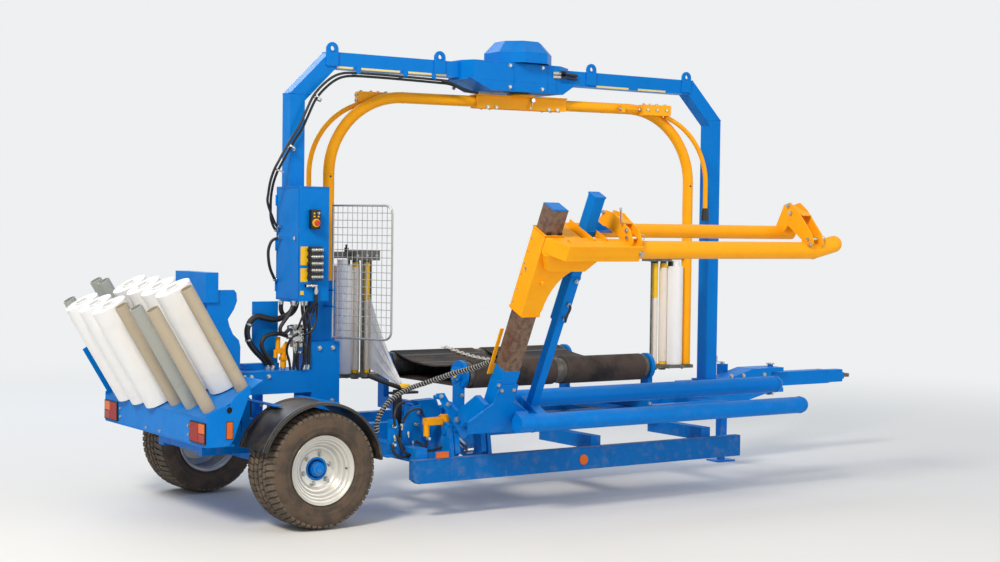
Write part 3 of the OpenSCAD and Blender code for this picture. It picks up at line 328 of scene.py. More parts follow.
class Piece:
    """One mesh piece that is drawn in millimetres in a local frame."""

    def __init__(self, name: str, finish: Finish, body: str = "chassis", base: Matrix = MACHINE) -> None:
        """Start an empty piece.

        Args:
            name: Name of the finished object.
            finish: Its finish.
            body: CAD body that it rides on.
            base: Local frame of the sizes that follow.
        """
        self.name, self.finish, self.body, self.base = name, finish, body, base
        self.bm = bmesh.new()

    def block(self, x: Span, y: Span, z: Span, turn: Matrix | None = None) -> "Piece":
        """Add a box between the given limits.

        Args:
            x: Limits along X.
            y: Limits along Y.
            z: Limits along Z.
            turn: Turn about the box's own middle.

        Returns:
            This piece, so that calls can follow each other.
        """
        mid = Vector(((x[0] + x[1]) / 2, (y[0] + y[1]) / 2, (z[0] + z[1]) / 2))
        size = Matrix.Diagonal((x[1] - x[0], y[1] - y[0], z[1] - z[0], 1.0))
        bmesh.ops.create_cube(self.bm, size=1.0, matrix=Matrix.Translation(mid) @ (turn or Matrix()) @ size)
        return self

    def rod(self, p: Point, q: Point, d: float, sides: int = 20, d2: float | None = None) -> "Piece":
        """Add a round bar.

        Args:
            p: Middle of the first end.
            q: Middle of the other end.
            d: Diameter, at p when d2 is given.
            sides: Number of sides.
            d2: Diameter at q of a tapered bar.

        Returns:
            This piece.
        """
        a, b = Vector(p), Vector(q)
        turn = (b - a).to_track_quat("Z", "Y").to_matrix().to_4x4()
        bmesh.ops.create_cone(self.bm, cap_ends=True, segments=sides, radius1=d / 2,
                              radius2=(d if d2 is None else d2) / 2, depth=(b - a).length,
                              matrix=Matrix.Translation((a + b) / 2) @ turn)
        return self

    def ball(self, at: Point, d: float) -> "Piece":
        """Add a ball."""
        bmesh.ops.create_uvsphere(self.bm, u_segments=16, v_segments=10, radius=d / 2, matrix=Matrix.Translation(at))
        return self

    def plate(self, outline: list[Span], y: Span, plane: str = "xz") -> "Piece":
        """Add a flat plate.

        Args:
            outline: Corners in the plane.
            y: Limits across the plane.
            plane: The two axes of the plane.

        Returns:
            This piece.
        """
        order = {"xz": (0, 2, 1), "yz": (1, 2, 0), "xy": (0, 1, 2)}[plane]
        rows = []
        for level in y:
            row = []
            for u, v in outline:
                p = [0.0, 0.0, 0.0]
                p[order[0]], p[order[1]], p[order[2]] = u, v, level
                row.append(self.bm.verts.new(p))
            rows.append(row)
        n = len(outline)
        self.bm.faces.new(rows[0])
        self.bm.faces.new(list(reversed(rows[1])))
        for i in range(n):
            j = (i + 1) % n
            self.bm.faces.new((rows[0][i], rows[1][i], rows[1][j], rows[0][j]))
        return self

    def lathe(self, profile: list[Span], at: Matrix = Matrix(), sides: int = 64,
              arc: Span = (0.0, 360.0)) -> "Piece":
        """Turn a closed profile about the Z axis of a frame.

        Args:
            profile: Radius and height of each corner.
            at: Frame whose Z axis is the axis.
            sides: Number of steps over the arc.
            arc: First and last angle in degrees.

        Returns:
            This piece.
        """
        whole = arc[1] - arc[0] >= 360.0
        steps = sides if whole else sides + 1
        rows = []
        for k in range(steps):
            t = math.radians(arc[0] + (arc[1] - arc[0]) * k / sides)
            rows.append([self.bm.verts.new(at @ Vector((r * math.cos(t), r * math.sin(t), h))) for r, h in profile])
        n = len(profile)
        for k in range(sides):
            a, b = rows[k], rows[(k + 1) % steps]
            for i in range(n):
                j = (i + 1) % n
                self.bm.faces.new((a[i], b[i], b[j], a[j]))
        if not whole:
            self.bm.faces.new(list(reversed(rows[0])))
            self.bm.faces.new(rows[-1])
        return self

    def ring(self, at: Point, axis: Point, r: float, d: float, sides: int = 32) -> "Piece":
        """Add a round wire ring.

        Args:
            at: Middle of the ring.
            axis: Direction of its axis.
            r: Radius of the wire's middle line.
            d: Diameter of the wire.
            sides: Number of steps round the ring.

        Returns:
            This piece.
        """
        turn = Vector(axis).to_track_quat("Z", "Y").to_matrix().to_4x4()
        wire = [(r + d / 2 * math.cos(math.radians(a)), d / 2 * math.sin(math.radians(a))) for a in range(0, 360, 45)]
        return self.lathe(wire, Matrix.Translation(at) @ turn, sides)

    def sweep(self, points: list[Point], d: float, sides: int = 8) -> "Piece":
        """Add a tube with closed ends.

        Args:
            points: Middle line of the tube.
            d: Diameter.
            sides: Number of sides.

        Returns:
            This piece.
        """
        p = [Vector(q) for q in points]
        rows, side = [], None
        for i, q in enumerate(p):
            ahead = (p[min(i + 1, len(p) - 1)] - p[max(i - 1, 0)]).normalized()
            if side is None:
                side = ahead.orthogonal().normalized()
            side = (side - ahead * side.dot(ahead)).normalized()
            up = ahead.cross(side)
            rows.append([self.bm.verts.new(q + d / 2 * (math.cos(a) * side + math.sin(a) * up))
                         for a in (2 * math.pi * k / sides for k in range(sides))])
        for a, b in zip(rows, rows[1:]):
            for k in range(sides):
                self.bm.faces.new((a[k], a[(k + 1) % sides], b[(k + 1) % sides], b[k]))
        self.bm.faces.new(list(reversed(rows[0])))
        self.bm.faces.new(rows[-1])
        return self

    def mesh(self) -> bpy.types.Mesh:
        """Close the drawing and hand its mesh back.

        Returns:
            The mesh in millimetres in the local frame.
        """
        bmesh.ops.remove_doubles(self.bm, verts=self.bm.verts, dist=0.002)
        bmesh.ops.recalc_face_normals(self.bm, faces=self.bm.faces)
        mesh = bpy.data.meshes.new(self.name)
        self.bm.to_mesh(mesh)
        self.bm.free()
        return mesh

    def done(self, replaces: tuple[str, ...] = (), bevel: float = 0.0, smooth: float = 35.0) -> bpy.types.Object:
        """Finish the piece and let it ride on its body.

        Args:
            replaces: CAD nodes that the piece stands for.
            bevel: Width of the rounded edges in millimetres.
            smooth: Angle in degrees under which faces blend.

        Returns:
            The finished object.
        """
        mesh = self.mesh()
        mesh.transform(self.base)
        return settle(mesh, self.name, self.finish, self.body, replaces, bevel, smooth)


def settle(mesh: bpy.types.Mesh, name: str, finish: Finish, body: str, replaces: tuple[str, ...] = (),
           bevel: float = 0.0, smooth: float = 35.0) -> bpy.types.Object:
    """Make an object of a mesh that is in the row frame and fix it to its body.

    Args:
        mesh: Mesh in metres in the row frame.
        name: Name of the object.
        finish: Finish of the whole mesh.
        replaces: CAD nodes that it stands for.
        bevel: Width of the rounded edges in millimetres.
        smooth: Angle in degrees under which faces blend.

    Returns:
        The object.
    """
    mesh.materials.clear()
    mesh.materials.append(finish.material())
    mesh.shade_smooth()
    mesh.set_sharp_from_angle(angle=math.radians(smooth))
    obj = bpy.data.objects.new(name, mesh)
    bpy.context.scene.collection.objects.link(obj)
    if bevel:
        edges = obj.modifiers.new("Edges", "BEVEL")
        edges.width = bevel / 1000
        edges.segments = 2
        edges.limit_method = "ANGLE"
        edges.angle_limit = math.radians(40)
        edges.harden_normals = True
    if body:
        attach(obj, body)
    if replaces:
        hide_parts(*replaces)
    LOG.info("made %s, %d faces, on %s", name, len(mesh.polygons), body or "two bodies")
    return obj


def start_tree(title: str, **inputs: str) -> bpy.types.NodeTree:
    """Start a Geometry Nodes tree that takes a geometry, the named inputs and a finish.

    Args:
        title: Name of the tree.
        inputs: Socket type of each further input, without its common start.

    Returns:
        The tree with its inputs and one geometry output.
    """
    tree = bpy.data.node_groups.new(title, "GeometryNodeTree")
    for name, kind in ({"Geometry": "Geometry"} | inputs | {"Finish": "Material"}).items():
        tree.interface.new_socket(name, in_out="INPUT", socket_type="NodeSocket" + kind)
    tree.interface.new_socket("Geometry", in_out="OUTPUT", socket_type="NodeSocketGeometry")
    return tree


def end_tree(tree: bpy.types.NodeTree, geometry: bpy.types.NodeSocket, finish: bpy.types.NodeSocket) -> None:
    """Realize the copies, give them the finish and end the tree.

    Args:
        tree: Tree to end.
        geometry: Its last geometry.
        finish: Material input of the tree.
    """
    real = add(tree, "GeometryNodeRealizeInstances", {"Geometry": geometry})
    paint = add(tree, "GeometryNodeSetMaterial", {"Geometry": real.outputs["Geometry"], "Material": finish})
    add(tree, "NodeGroupOutput", {"Geometry": paint.outputs["Geometry"]})


def grown(holder: bpy.types.Object, tree: bpy.types.NodeTree, finish: Finish, **values: object) -> bpy.types.Mesh:
    """Run a tree on an object and keep the plain mesh; the object and its modifier go.

    Args:
        holder: Object whose mesh the tree starts from.
        tree: Tree to run.
        finish: Finish of the result.
        values: Value of each named input.

    Returns:
        The mesh in the holder's frame.
    """
    bpy.context.scene.collection.objects.link(holder)
    grow = holder.modifiers.new("Grow", "NODES")
    grow.node_group = tree
    keys = {s.name: s.identifier for s in tree.interface.items_tree if s.in_out == "INPUT"}
    for name, value in (values | {"Finish": finish.material()}).items():
        grow[keys[name]] = value
    mesh = evaluated_mesh(holder)
    bpy.data.objects.remove(holder)
    return mesh


class Copies:
    """Puts many copies of one small shape with Geometry Nodes."""

    tree: bpy.types.NodeTree | None = None

    @classmethod
    def nodes(cls) -> bpy.types.NodeTree:
        """Build the tree once: a shape on each point, turned and sized by the point's own values."""
        if cls.tree:
            return cls.tree
        tree = start_tree("placed_copies", Shape="Object", Size="Float")
        ins = add(tree, "NodeGroupInput").outputs
        shape = add(tree, "GeometryNodeObjectInfo", {"Object": ins["Shape"]}, transform_space="ORIGINAL")
        turn = add(tree, "GeometryNodeInputNamedAttribute", {"Name": "turn"}, data_type="FLOAT_VECTOR")
        size = add(tree, "GeometryNodeInputNamedAttribute", {"Name": "size"}, data_type="FLOAT")
        scale = add(tree, "ShaderNodeMath", {0: size.outputs["Attribute"], 1: ins["Size"]}, operation="MULTIPLY")
        put = add(tree, "GeometryNodeInstanceOnPoints", {"Points": ins["Geometry"],
                                                         "Instance": shape.outputs["Geometry"],
                                                         "Rotation": turn.outputs["Attribute"],
                                                         "Scale": scale.outputs[0]})
        end_tree(tree, put.outputs["Instances"], ins["Finish"])
        cls.tree = tree
        return tree

    @classmethod
    def put(cls, name: str, shape: Piece, spots: list[tuple[Point, Point, float, float]], body: str = "chassis",
            base: Matrix = MACHINE, smooth: float = 35.0) -> bpy.types.Object:
        """Place the shape on every spot.

        Args:
            name: Name of the finished object.
            shape: Drawing in millimetres; its Z axis is turned to each spot's axis.
            spots: Place, axis, turn about the axis in degrees and size of each copy.
            body: CAD body that the copies ride on.
            base: Local frame of the spots.
            smooth: Angle in degrees under which faces blend.

        Returns:
            One object with all copies.
        """
        stamp = shape.mesh()
        stamp.transform(Matrix.Scale(0.001, 4))
        pattern = bpy.data.objects.new(name + "_shape", stamp)
        bpy.context.scene.collection.objects.link(pattern)
        mesh = bpy.data.meshes.new(name)
        mesh.from_pydata([base @ Vector(s[0]) for s in spots], [], [])
        mesh.attributes.new("turn", "FLOAT_VECTOR", "POINT")
        mesh.attributes.new("size", "FLOAT", "POINT")
        # Fetched after both exist, as a new attribute moves the older one
        turns, sizes = mesh.attributes["turn"], mesh.attributes["size"]
        for i, (_, axis, spin, size) in enumerate(spots):
            face = (base.to_3x3() @ Vector(axis)).normalized().to_track_quat("Z", "Y")
            whole = face.to_matrix() @ Matrix.Rotation(math.radians(spin), 3, "Z")
            turns.data[i].vector = whole.to_euler()
            sizes.data[i].value = size
        made = grown(bpy.data.objects.new(name + "_spots", mesh), cls.nodes(), shape.finish, Shape=pattern, Size=1.0)
        bpy.data.objects.remove(pattern)
        return settle(made, name, shape.finish, body, smooth=smooth)


class Hoses:
    """Round hoses along smooth curves, made with Geometry Nodes."""

    tree: bpy.types.NodeTree | None = None

    @classmethod
    def nodes(cls) -> bpy.types.NodeTree:
        """Build the tree once: a smooth curve through the points and a round section along it."""
        if cls.tree:
            return cls.tree
        tree = start_tree("hose_on_path", Diameter="Float", Step="Float", Sides="Int")
        ins = add(tree, "NodeGroupInput").outputs
        line = add(tree, "GeometryNodeMeshToCurve", {"Mesh": ins["Geometry"]})
        bend = add(tree, "GeometryNodeCurveSplineType", {"Curve": line.outputs["Curve"]}, spline_type="CATMULL_ROM")
        even = add(tree, "GeometryNodeResampleCurve", {"Curve": bend.outputs["Curve"], "Length": ins["Step"]},
                   mode="LENGTH")
        half = add(tree, "ShaderNodeMath", {0: ins["Diameter"], 1: 0.5}, operation="MULTIPLY")
        section = add(tree, "GeometryNodeCurvePrimitiveCircle", {"Resolution": ins["Sides"],
                                                                 "Radius": half.outputs[0]})
        skin = add(tree, "GeometryNodeCurveToMesh", {"Curve": even.outputs["Curve"],
                                                     "Profile Curve": section.outputs["Curve"], "Fill Caps": True})
        end_tree(tree, skin.outputs["Mesh"], ins["Finish"])
        cls.tree = tree
        return tree

    @classmethod
    def run(cls, name: str, finish: Finish, routes: list[tuple[float, list[Point]]], body: str = "chassis",
            base: Matrix = MACHINE, replaces: tuple[str, ...] = (), sides: int = 14) -> bpy.types.Object:
        """Lay hoses along their routes and join them into one piece.

        Args:
            name: Name of the finished object.
            finish: Finish of the hoses.
            routes: Diameter and points of each hose in millimetres.
            body: CAD body that they ride on.
            base: Local frame of the points.
            replaces: CAD nodes that they stand for.
            sides: Number of sides of the section.

        Returns:
            One object with all hoses.
        """
        whole = bmesh.new()
        for diameter, points in routes:
            mesh = bpy.data.meshes.new(name)
            mesh.from_pydata([base @ Vector(p) for p in points], [(i, i + 1) for i in range(len(points) - 1)], [])
            whole.from_mesh(grown(bpy.data.objects.new(name + "_route", mesh), cls.nodes(), finish,
                                  Diameter=diameter / 1000, Step=max(0.008, diameter / 2200), Sides=sides))
        bmesh.ops.recalc_face_normals(whole, faces=whole.faces)
        mesh = bpy.data.meshes.new(name)
        whole.to_mesh(mesh)
        whole.free()
        return settle(mesh, name, finish, body, replaces, smooth=50.0)


def evaluated_mesh(holder: bpy.types.Object) -> bpy.types.Mesh:
    """Apply an object's modifiers on a new mesh.

    Args:
        holder: Object with its modifiers.

    Returns:
        Plain mesh without the values that placed its copies.
    """
    graph = bpy.context.evaluated_depsgraph_get()
    mesh = bpy.data.meshes.new_from_object(holder.evaluated_get(graph), depsgraph=graph)
    for extra in ("turn", "size"):
        if extra in mesh.attributes:
            mesh.attributes.remove(mesh.attributes[extra])
    return mesh


def smooth_path(points: list[Point], step: float) -> list[Vector]:
    """Even points on a smooth curve through the given ones.

    Args:
        points: Points in millimetres.
        step: Distance between the new points.

    Returns:
        The new points.
    """
    p = [Vector(q) for q in points]
    dense = []
    for i in range(len(p) - 1):
        a, b, c, d = p[max(i - 1, 0)], p[i], p[i + 1], p[min(i + 2, len(p) - 1)]
        for k in range(24):
            t = k / 24
            dense.append(0.5 * (2 * b + (c - a) * t + (2 * a - 5 * b + 4 * c - d) * t * t
                                + (3 * b - a - 3 * c + d) * t ** 3))
    dense.append(p[-1])
    out, walked = [dense[0]], 0.0
    for a, b in zip(dense, dense[1:]):
        part = (b - a).length
        while walked + part >= step and part > 0:
            a = a + (b - a) * ((step - walked) / part)
            out.append(a)
            part = (b - a).length
            walked = 0.0
        walked += part
    return out


def hex_bolt(name: str, finish: Finish = ZINC, across: float = 24.0) -> Piece:
    """Draw a bolt head on its washer, on the Z axis.

    Args:
        name: Name of the drawing.
        finish: Its finish.
        across: Width of the head in millimetres.

    Returns:
        The drawing.
    """
    drawing = Piece(name, finish)
    drawing.rod((0, 0, -1), (0, 0, across * 0.12), across * 1.3, 20)
    drawing.rod((0, 0, across * 0.1), (0, 0, across * 0.5), across * 1.15, 6)
    drawing.rod((0, 0, across * 0.48), (0, 0, across * 0.56), across * 0.95, 6, across * 0.8)
    return drawing


@dataclass
class Frame:
    """The CAD pieces that keep their shape and get a finish."""

    finishes: dict[str, Finish] = field(default_factory=lambda: BY_NODE)

    def dress(self) -> None:
        """Give every CAD node its finish."""
        for name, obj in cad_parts.items():
            finish = self.finishes.get(name, BLUE)
            mat = finish.material()
            if not obj.material_slots:
                obj.data.materials.append(mat)
            for s in obj.material_slots:
                s.material = mat
            LOG.info("dressed %s in %s", name, finish.title)


@dataclass
class Wheel:
    """Tyre with tread, stepped rim, nuts and valve of one side."""

    side: Side
    tread_r: float = 391.0
    lug_top_r: float = 402.3
    lug_skew: float = 5.0
    lugs: int = 54
    nuts: int = 6
    nut_circle: float = 102.5

    @property
    def word(self) -> str:
        """Name of the side as the CAD nodes have it."""
        return self.side.name.lower()

    def tyre(self) -> None:
        """Turn the tyre's casing with its wall ribs."""
        half = [(222, 150), (236, 163), (243, 168), (258, 186), (262, 190), (267, 189), (290, 196), (296, 198.5),
                (302, 197), (322, 199.5), (345, 197), (362, 190), (376, 178), (384, 164), (389, 140),
                (self.tread_r, 60)]
        casing = half + [(r, -h) for r, h in reversed(half)]
        Piece(f"tyre_casing_{self.word}", WALL, f"wheel_{self.word}", self.side.wheel_frame()).lathe(
            casing, sides=96).done((f"tyre_{self.word}",))

    def tread(self) -> None:
        """Set the tread blocks: two shoulders that slope outwards, and four rows between them."""
        base = self.side.wheel_frame()
        rows = ((152, 64, 0.0, 33, 30), (94, 38, 2.2, 36, 0), (32, 40, 0.6, 37, 0), (-32, 40, 3.4, 37, 0),
                (-94, 38, 4.4, 36, 0), (-152, 64, 3.3, 33, 30))
        for number, (h, wide, lag, long, slope) in enumerate(rows):
            block = Piece(f"tread_row_{number}", TYRE)
            sign = 1 if h >= 0 else -1
            inner, outer = h - sign * wide / 2, h + sign * wide / 2
            drop = 17 if slope else 0
            low, high, skew = self.tread_r - 6, self.lug_top_r, self.lug_skew
            front, rear = long / 2, -long / 2
            corners = [(low - drop * 1.3, rear - skew, outer), (low - drop * 1.3, front - skew, outer),
                       (low, front + skew, inner), (low, rear + skew, inner),
                       (high - drop, rear - skew, outer), (high - drop, front - skew, outer),
                       (high, front + skew, inner), (high, rear + skew, inner)]
            v = [block.bm.verts.new(c) for c in corners]
            for f in ((0, 1, 2, 3), (4, 5, 6, 7), (0, 1, 5, 4), (1, 2, 6, 5), (2, 3, 7, 6), (3, 0, 4, 7)):
                block.bm.faces.new([v[i] for i in f])
            Ring.turn(f"tread_{self.word}_{number}", block, self.lugs, lag, f"wheel_{self.word}", base)

    def rim(self) -> None:
        """Turn the stepped rim."""
        loop = [(234, 178), (237.3, 175), (237.3, 166), (224, 164.5), (221, 150), (221, -150), (224, -164.5),
                (237.3, -166), (237.3, -175), (234, -178), (228, -175), (216, -164), (213, -150), (205, -140),
                (205, 30), (165, 55), (80, 60), (80, 73.5), (116, 74), (126, 78), (140, 92), (152, 95), (158, 104),
                (168, 118), (176, 120), (182, 127), (188, 141), (197, 143), (203, 149), (208, 160), (217, 163),
                (228, 175)]
        Piece(f"rim_disc_{self.word}", SILVER, f"wheel_{self.word}", self.side.wheel_frame()).lathe(
            loop, sides=96).done((f"rim_{self.word}",), smooth=25)

    def small_parts(self) -> None:
        """Add nuts, valve, hub cap rings."""
        base, body = self.side.wheel_frame(), f"wheel_{self.word}"
        nut = Piece("nut", ZINC)
        nut.rod((self.nut_circle, 0, 74), (self.nut_circle, 0, 80), 36, 20, 27)
        nut.rod((self.nut_circle, 0, 79), (self.nut_circle, 0, 95), 27, 6)
        nut.rod((self.nut_circle, 0, 94), (self.nut_circle, 0, 101), 15, 12)
        Ring.turn(f"wheel_nuts_{self.word}", nut, self.nuts, 15.0, body, base)
        Piece(f"valve_{self.word}", RUBBER, body, base).rod((196, 0, 100), (190, 0, 146), 12, 12).rod(
            (190, 0, 146), (189, 0, 155), 9, 12).done()
        hub = Piece(f"hub_cap_{self.word}", BLUE, body, base)
        hub.lathe([(79.5, -20), (79.5, 71), (76, 76), (67, 76), (63, 71), (61, 34), (40, 32), (40, -20)], sides=56)
        hub.rod((0, 0, 20), (0, 0, 96), 102, 40).rod((0, 0, 94), (0, 0, 116), 84, 36, 78)
        hub.rod((0, 0, 115), (0, 0, 126), 46, 6).done((f"hub_{self.word}",), bevel=2)

    def build(self) -> None:
        """Make the whole wheel."""
        self.tyre()
        self.tread()
        self.rim()
        self.small_parts()


class Ring:
    """Repeats a shape round an axis with Geometry Nodes."""

    tree: bpy.types.NodeTree | None = None

    @classmethod
    def nodes(cls) -> bpy.types.NodeTree:
        """Build the tree once: Count copies of the mesh, each turned by its share of a full turn plus Lag."""
        if cls.tree:
            return cls.tree
        tree = start_tree("copies_round_axis", Count="Int", Lag="Float")
        ins = add(tree, "NodeGroupInput").outputs
        dots = add(tree, "GeometryNodePoints", {"Count": ins["Count"]})
        share = add(tree, "ShaderNodeMath", {0: math.tau, 1: ins["Count"]}, operation="DIVIDE")
        number = add(tree, "GeometryNodeInputIndex")
        angle = add(tree, "ShaderNodeMath", {0: number.outputs[0], 1: share.outputs[0], 2: ins["Lag"]},
                    operation="MULTIPLY_ADD")
        turn = add(tree, "ShaderNodeCombineXYZ", {"Z": angle.outputs[0]})
        put = add(tree, "GeometryNodeInstanceOnPoints", {"Points": dots.outputs[0], "Instance": ins["Geometry"],
                                                         "Rotation": turn.outputs[0]})
        end_tree(tree, put.outputs["Instances"], ins["Finish"])
        cls.tree = tree
        return tree

    @classmethod
    def turn(cls, name: str, shape: Piece, count: int, lag: float, body: str, base: Matrix) -> bpy.types.Object:
        """Repeat the shape round the base frame's Z axis.

        Args:
            name: Name of the finished object.
            shape: Drawing in millimetres at its place for no turn.
            count: Number of copies.
            lag: Turn of the first copy in degrees.
            body: CAD body that the copies ride on.
            base: Frame whose Z axis is the axis.

        Returns:
            One object with all copies.
        """
        mesh = grown(bpy.data.objects.new(name + "_one", shape.mesh()), cls.nodes(), shape.finish, Count=count,
                     Lag=math.radians(lag))
        mesh.transform(base)
        return settle(mesh, name, shape.finish, body)


@dataclass
class Fender:
    """Moulded fender with its rolled edges and bolts."""

    side: Side
    inner_r: float = 442.0
    half: float = 204.0
    back: float = 12.0
    bolt_r: float = 461.0
    arc: Span = (6.0, 161.0)

    def build(self) -> None:
        """Turn the ribbed section over the wheel."""
        word = self.side.name.lower()
        h, r = self.half, self.inner_r
        outer = [(r, h), (r + 12, h), (r + 18, h - 3), (r + 20, h - 9), (r + 18, h - 15), (r + 9, h - 19),
                 (r + 7, h - 24), (r + 9, h - 29), (r + 17, h - 33), (r + 19.5, h - 39), (r + 17, h - 45),
                 (r + 13, h - 48), (r + 12, h - 56)]
        skin = outer + [(q, -z) for q, z in reversed(outer)]
        inside = [(r + 7, -h + 54), (r + 7, -h + 50), (r + 3, -h + 30), (r + 3, -h + 24), (r + 6, -h + 14),
                  (r, -h + 6)]
        loop = skin + inside + [(q, -z) for q, z in reversed(inside)]
        # Angles run from ahead over the top to the rear
        base = (MACHINE @ Matrix.Translation((-self.back, self.side.value * WHEEL_Y, AXLE_Z))
                @ Matrix.Rotation(math.radians(90), 4, "X"))
        Piece(f"fender_shell_{word}", PLASTIC, "chassis", base).lathe(loop, sides=72, arc=self.arc).done(
            (f"fender_{word}",), smooth=40)
        # Thin pale strips on the four bead crests paint the highlight of the rolled beads
        beads = Piece(f"fender_beads_{word}", BEAD_HIGHLIGHT, "chassis", base)
        for z, q in ((h - 9, r + 20), (h - 39, r + 19.7), (-h + 9, r + 20), (-h + 39, r + 19.7)):
            beads.lathe([(q - 2.6, z - 2.4), (q - 0.2, z - 1.2), (q - 0.2, z + 1.2), (q - 2.6, z + 2.4)], sides=72,
                        arc=self.arc)
        beads.done(smooth=60)
        spots = []
        for x in (-230, 210):
            near = abs(x + self.back)
            z = AXLE_Z + math.sqrt(self.bolt_r ** 2 - near * near) + 5
            lean = Vector((x + self.back, 0, z - AXLE_Z)).normalized()
            for y in (560, 660):
                spots.append(((x, self.side.value * (y + 60), z - 3), tuple(lean), 0.0, 0.8))
        Copies.put(f"fender_bolts_{word}", hex_bolt("bolt"), spots)


@dataclass
class Rack:
    """Rear rack: lamps, markers, folds and the film on its rolls."""

    lamp_y: float = 762.5
    lamp_half: float = 119.0
    lens_x: Span = (-774.8, -764.0)
    row_at: float = 85.0
    row_step: float = 265.0

    def lamps(self) -> None:
        """Build both ribbed tail lamps in their housings."""
        for word, s in (("left", 1), ("right", -1)):
            mid = s * self.lamp_y
            y0, y1 = mid - self.lamp_half, mid + self.lamp_half
            shell = Piece(f"lamp_shell_{word}", DARK, base=MACHINE)
            shell.block((-766, -760.4), (y0, y1), (600.5, 739.5))
            for z in ((600.5, 605), (735, 739.5)):
                shell.block((-774, -766), (y0, y1), z)
            for y in ((y0, y0 + 4.5), (y1 - 4.5, y1)):
                shell.block((-774, -766), y, (605, 735))
            shell.done(bevel=1.2)
            cut = mid + s * 18
            red = (y0 + 6, cut - 1.5) if s > 0 else (cut + 1.5, y1 - 6)
            amber = (cut + 1.5, y1 - 6) if s > 0 else (y0 + 6, cut - 1.5)
            Piece(f"lamp_red_{word}", LENS).block(self.lens_x, red, (607, 733)).done(bevel=3)
            Piece(f"lamp_amber_{word}", AMBER).block(self.lens_x, amber, (668, 733)).done(bevel=3)
            Piece(f"lamp_low_{word}", LENS).block(self.lens_x, amber, (607, 665)).done(bevel=3)
            ribs = Piece("rib", LENS).block((-0.5, 0.5), (-0.7, 0.7), (-60, 60))
            count = int((red[1] - red[0]) / 9)
            spots = [((-774.7, red[0] + 6 + 9 * i, 670), (0, 0, 1), 0.0, 1.0) for i in range(count)]
            Copies.put(f"lamp_ribs_{word}", ribs, spots)
        Piece("lamps_back", DARK).block((-762, -760.5), (700, 824), (640, 700)).block(
            (-762, -760.5), (-824, -700), (640, 700)).done(("lamps",))

    def trims(self) -> None:
        """Add side markers, edge folds and bolts."""
        for word, s in (("right", -1), ("left", 1)):
            y = (892.7, 899.0) if s > 0 else (-899.0, -892.7)
            Piece(f"side_marker_{word}", AMBER).block((-622, -578), y, (632, 742)).done(bevel=3)
            Piece(f"marker_base_{word}", DARK).block(
                (-626, -574), ((892.5, 894.2) if s > 0 else (-894.2, -892.5)), (627, 747)).done(bevel=1)
        fold = Piece("rack_fold", BLUE)
        for s in (-1, 1):
            fold.block((-764, -757), (min(s * 890, s * 893), max(s * 890, s * 893)), (585, 800))
        fold.block((-763.5, -760.2), (-884, 884), (762, 770)).block((-763.5, -760.2), (-884, 884), (580.5, 588))
        fold.done(bevel=1.5)
        spots = [((-760.2, y, z), (-1, 0, 0), 10.0 * i, 0.7) for i, (y, z) in enumerate(
            ((-600, 700), (-600, 640), (600, 700), (600, 640), (-120, 610), (120, 610)))]
        Copies.put("rack_bolts", hex_bolt("bolt"), spots)

    def ends(self) -> None:
        """Put film edges on the rolls' ends and a few loose wraps round them."""
        edge = Piece("film_edges", WEB, "chassis", RACK)
        rolls = ((520, 0), (265, 0), (10, 0), (-551, 1), (-299, 1), (-47, 1), (205, 1))
        for y, row in rolls:
            at = Matrix.Translation((self.row_at + self.row_step * row, y, 0.3))
            for h in (780.5, 9.5):
                edge.lathe([(46, h), (122, h), (122, h - 0.3 if h > 100 else h + 0.3), (46, h - 0.5)], at, 40)
        edge.done()
        wraps = Piece("film_wraps", FILM, "chassis", RACK)
        chance = random.Random(5)
        for y, row in rolls:
            at = Matrix.Translation((self.row_at + self.row_step * row, y, 0.3))
            for _ in range(3):
                h, tall = chance.uniform(60, 640), chance.uniform(30, 90)
                start = chance.uniform(0, 360)
                wraps.lathe([(124.9, h), (125.7, h), (125.7, h + tall), (124.9, h + tall)], at, 30,
                            (start, start + chance.uniform(90, 200)))
        wraps.done()

    def build(self) -> None:
        """Make all parts of the rack."""
        self.lamps()
        self.trims()
        self.ends()


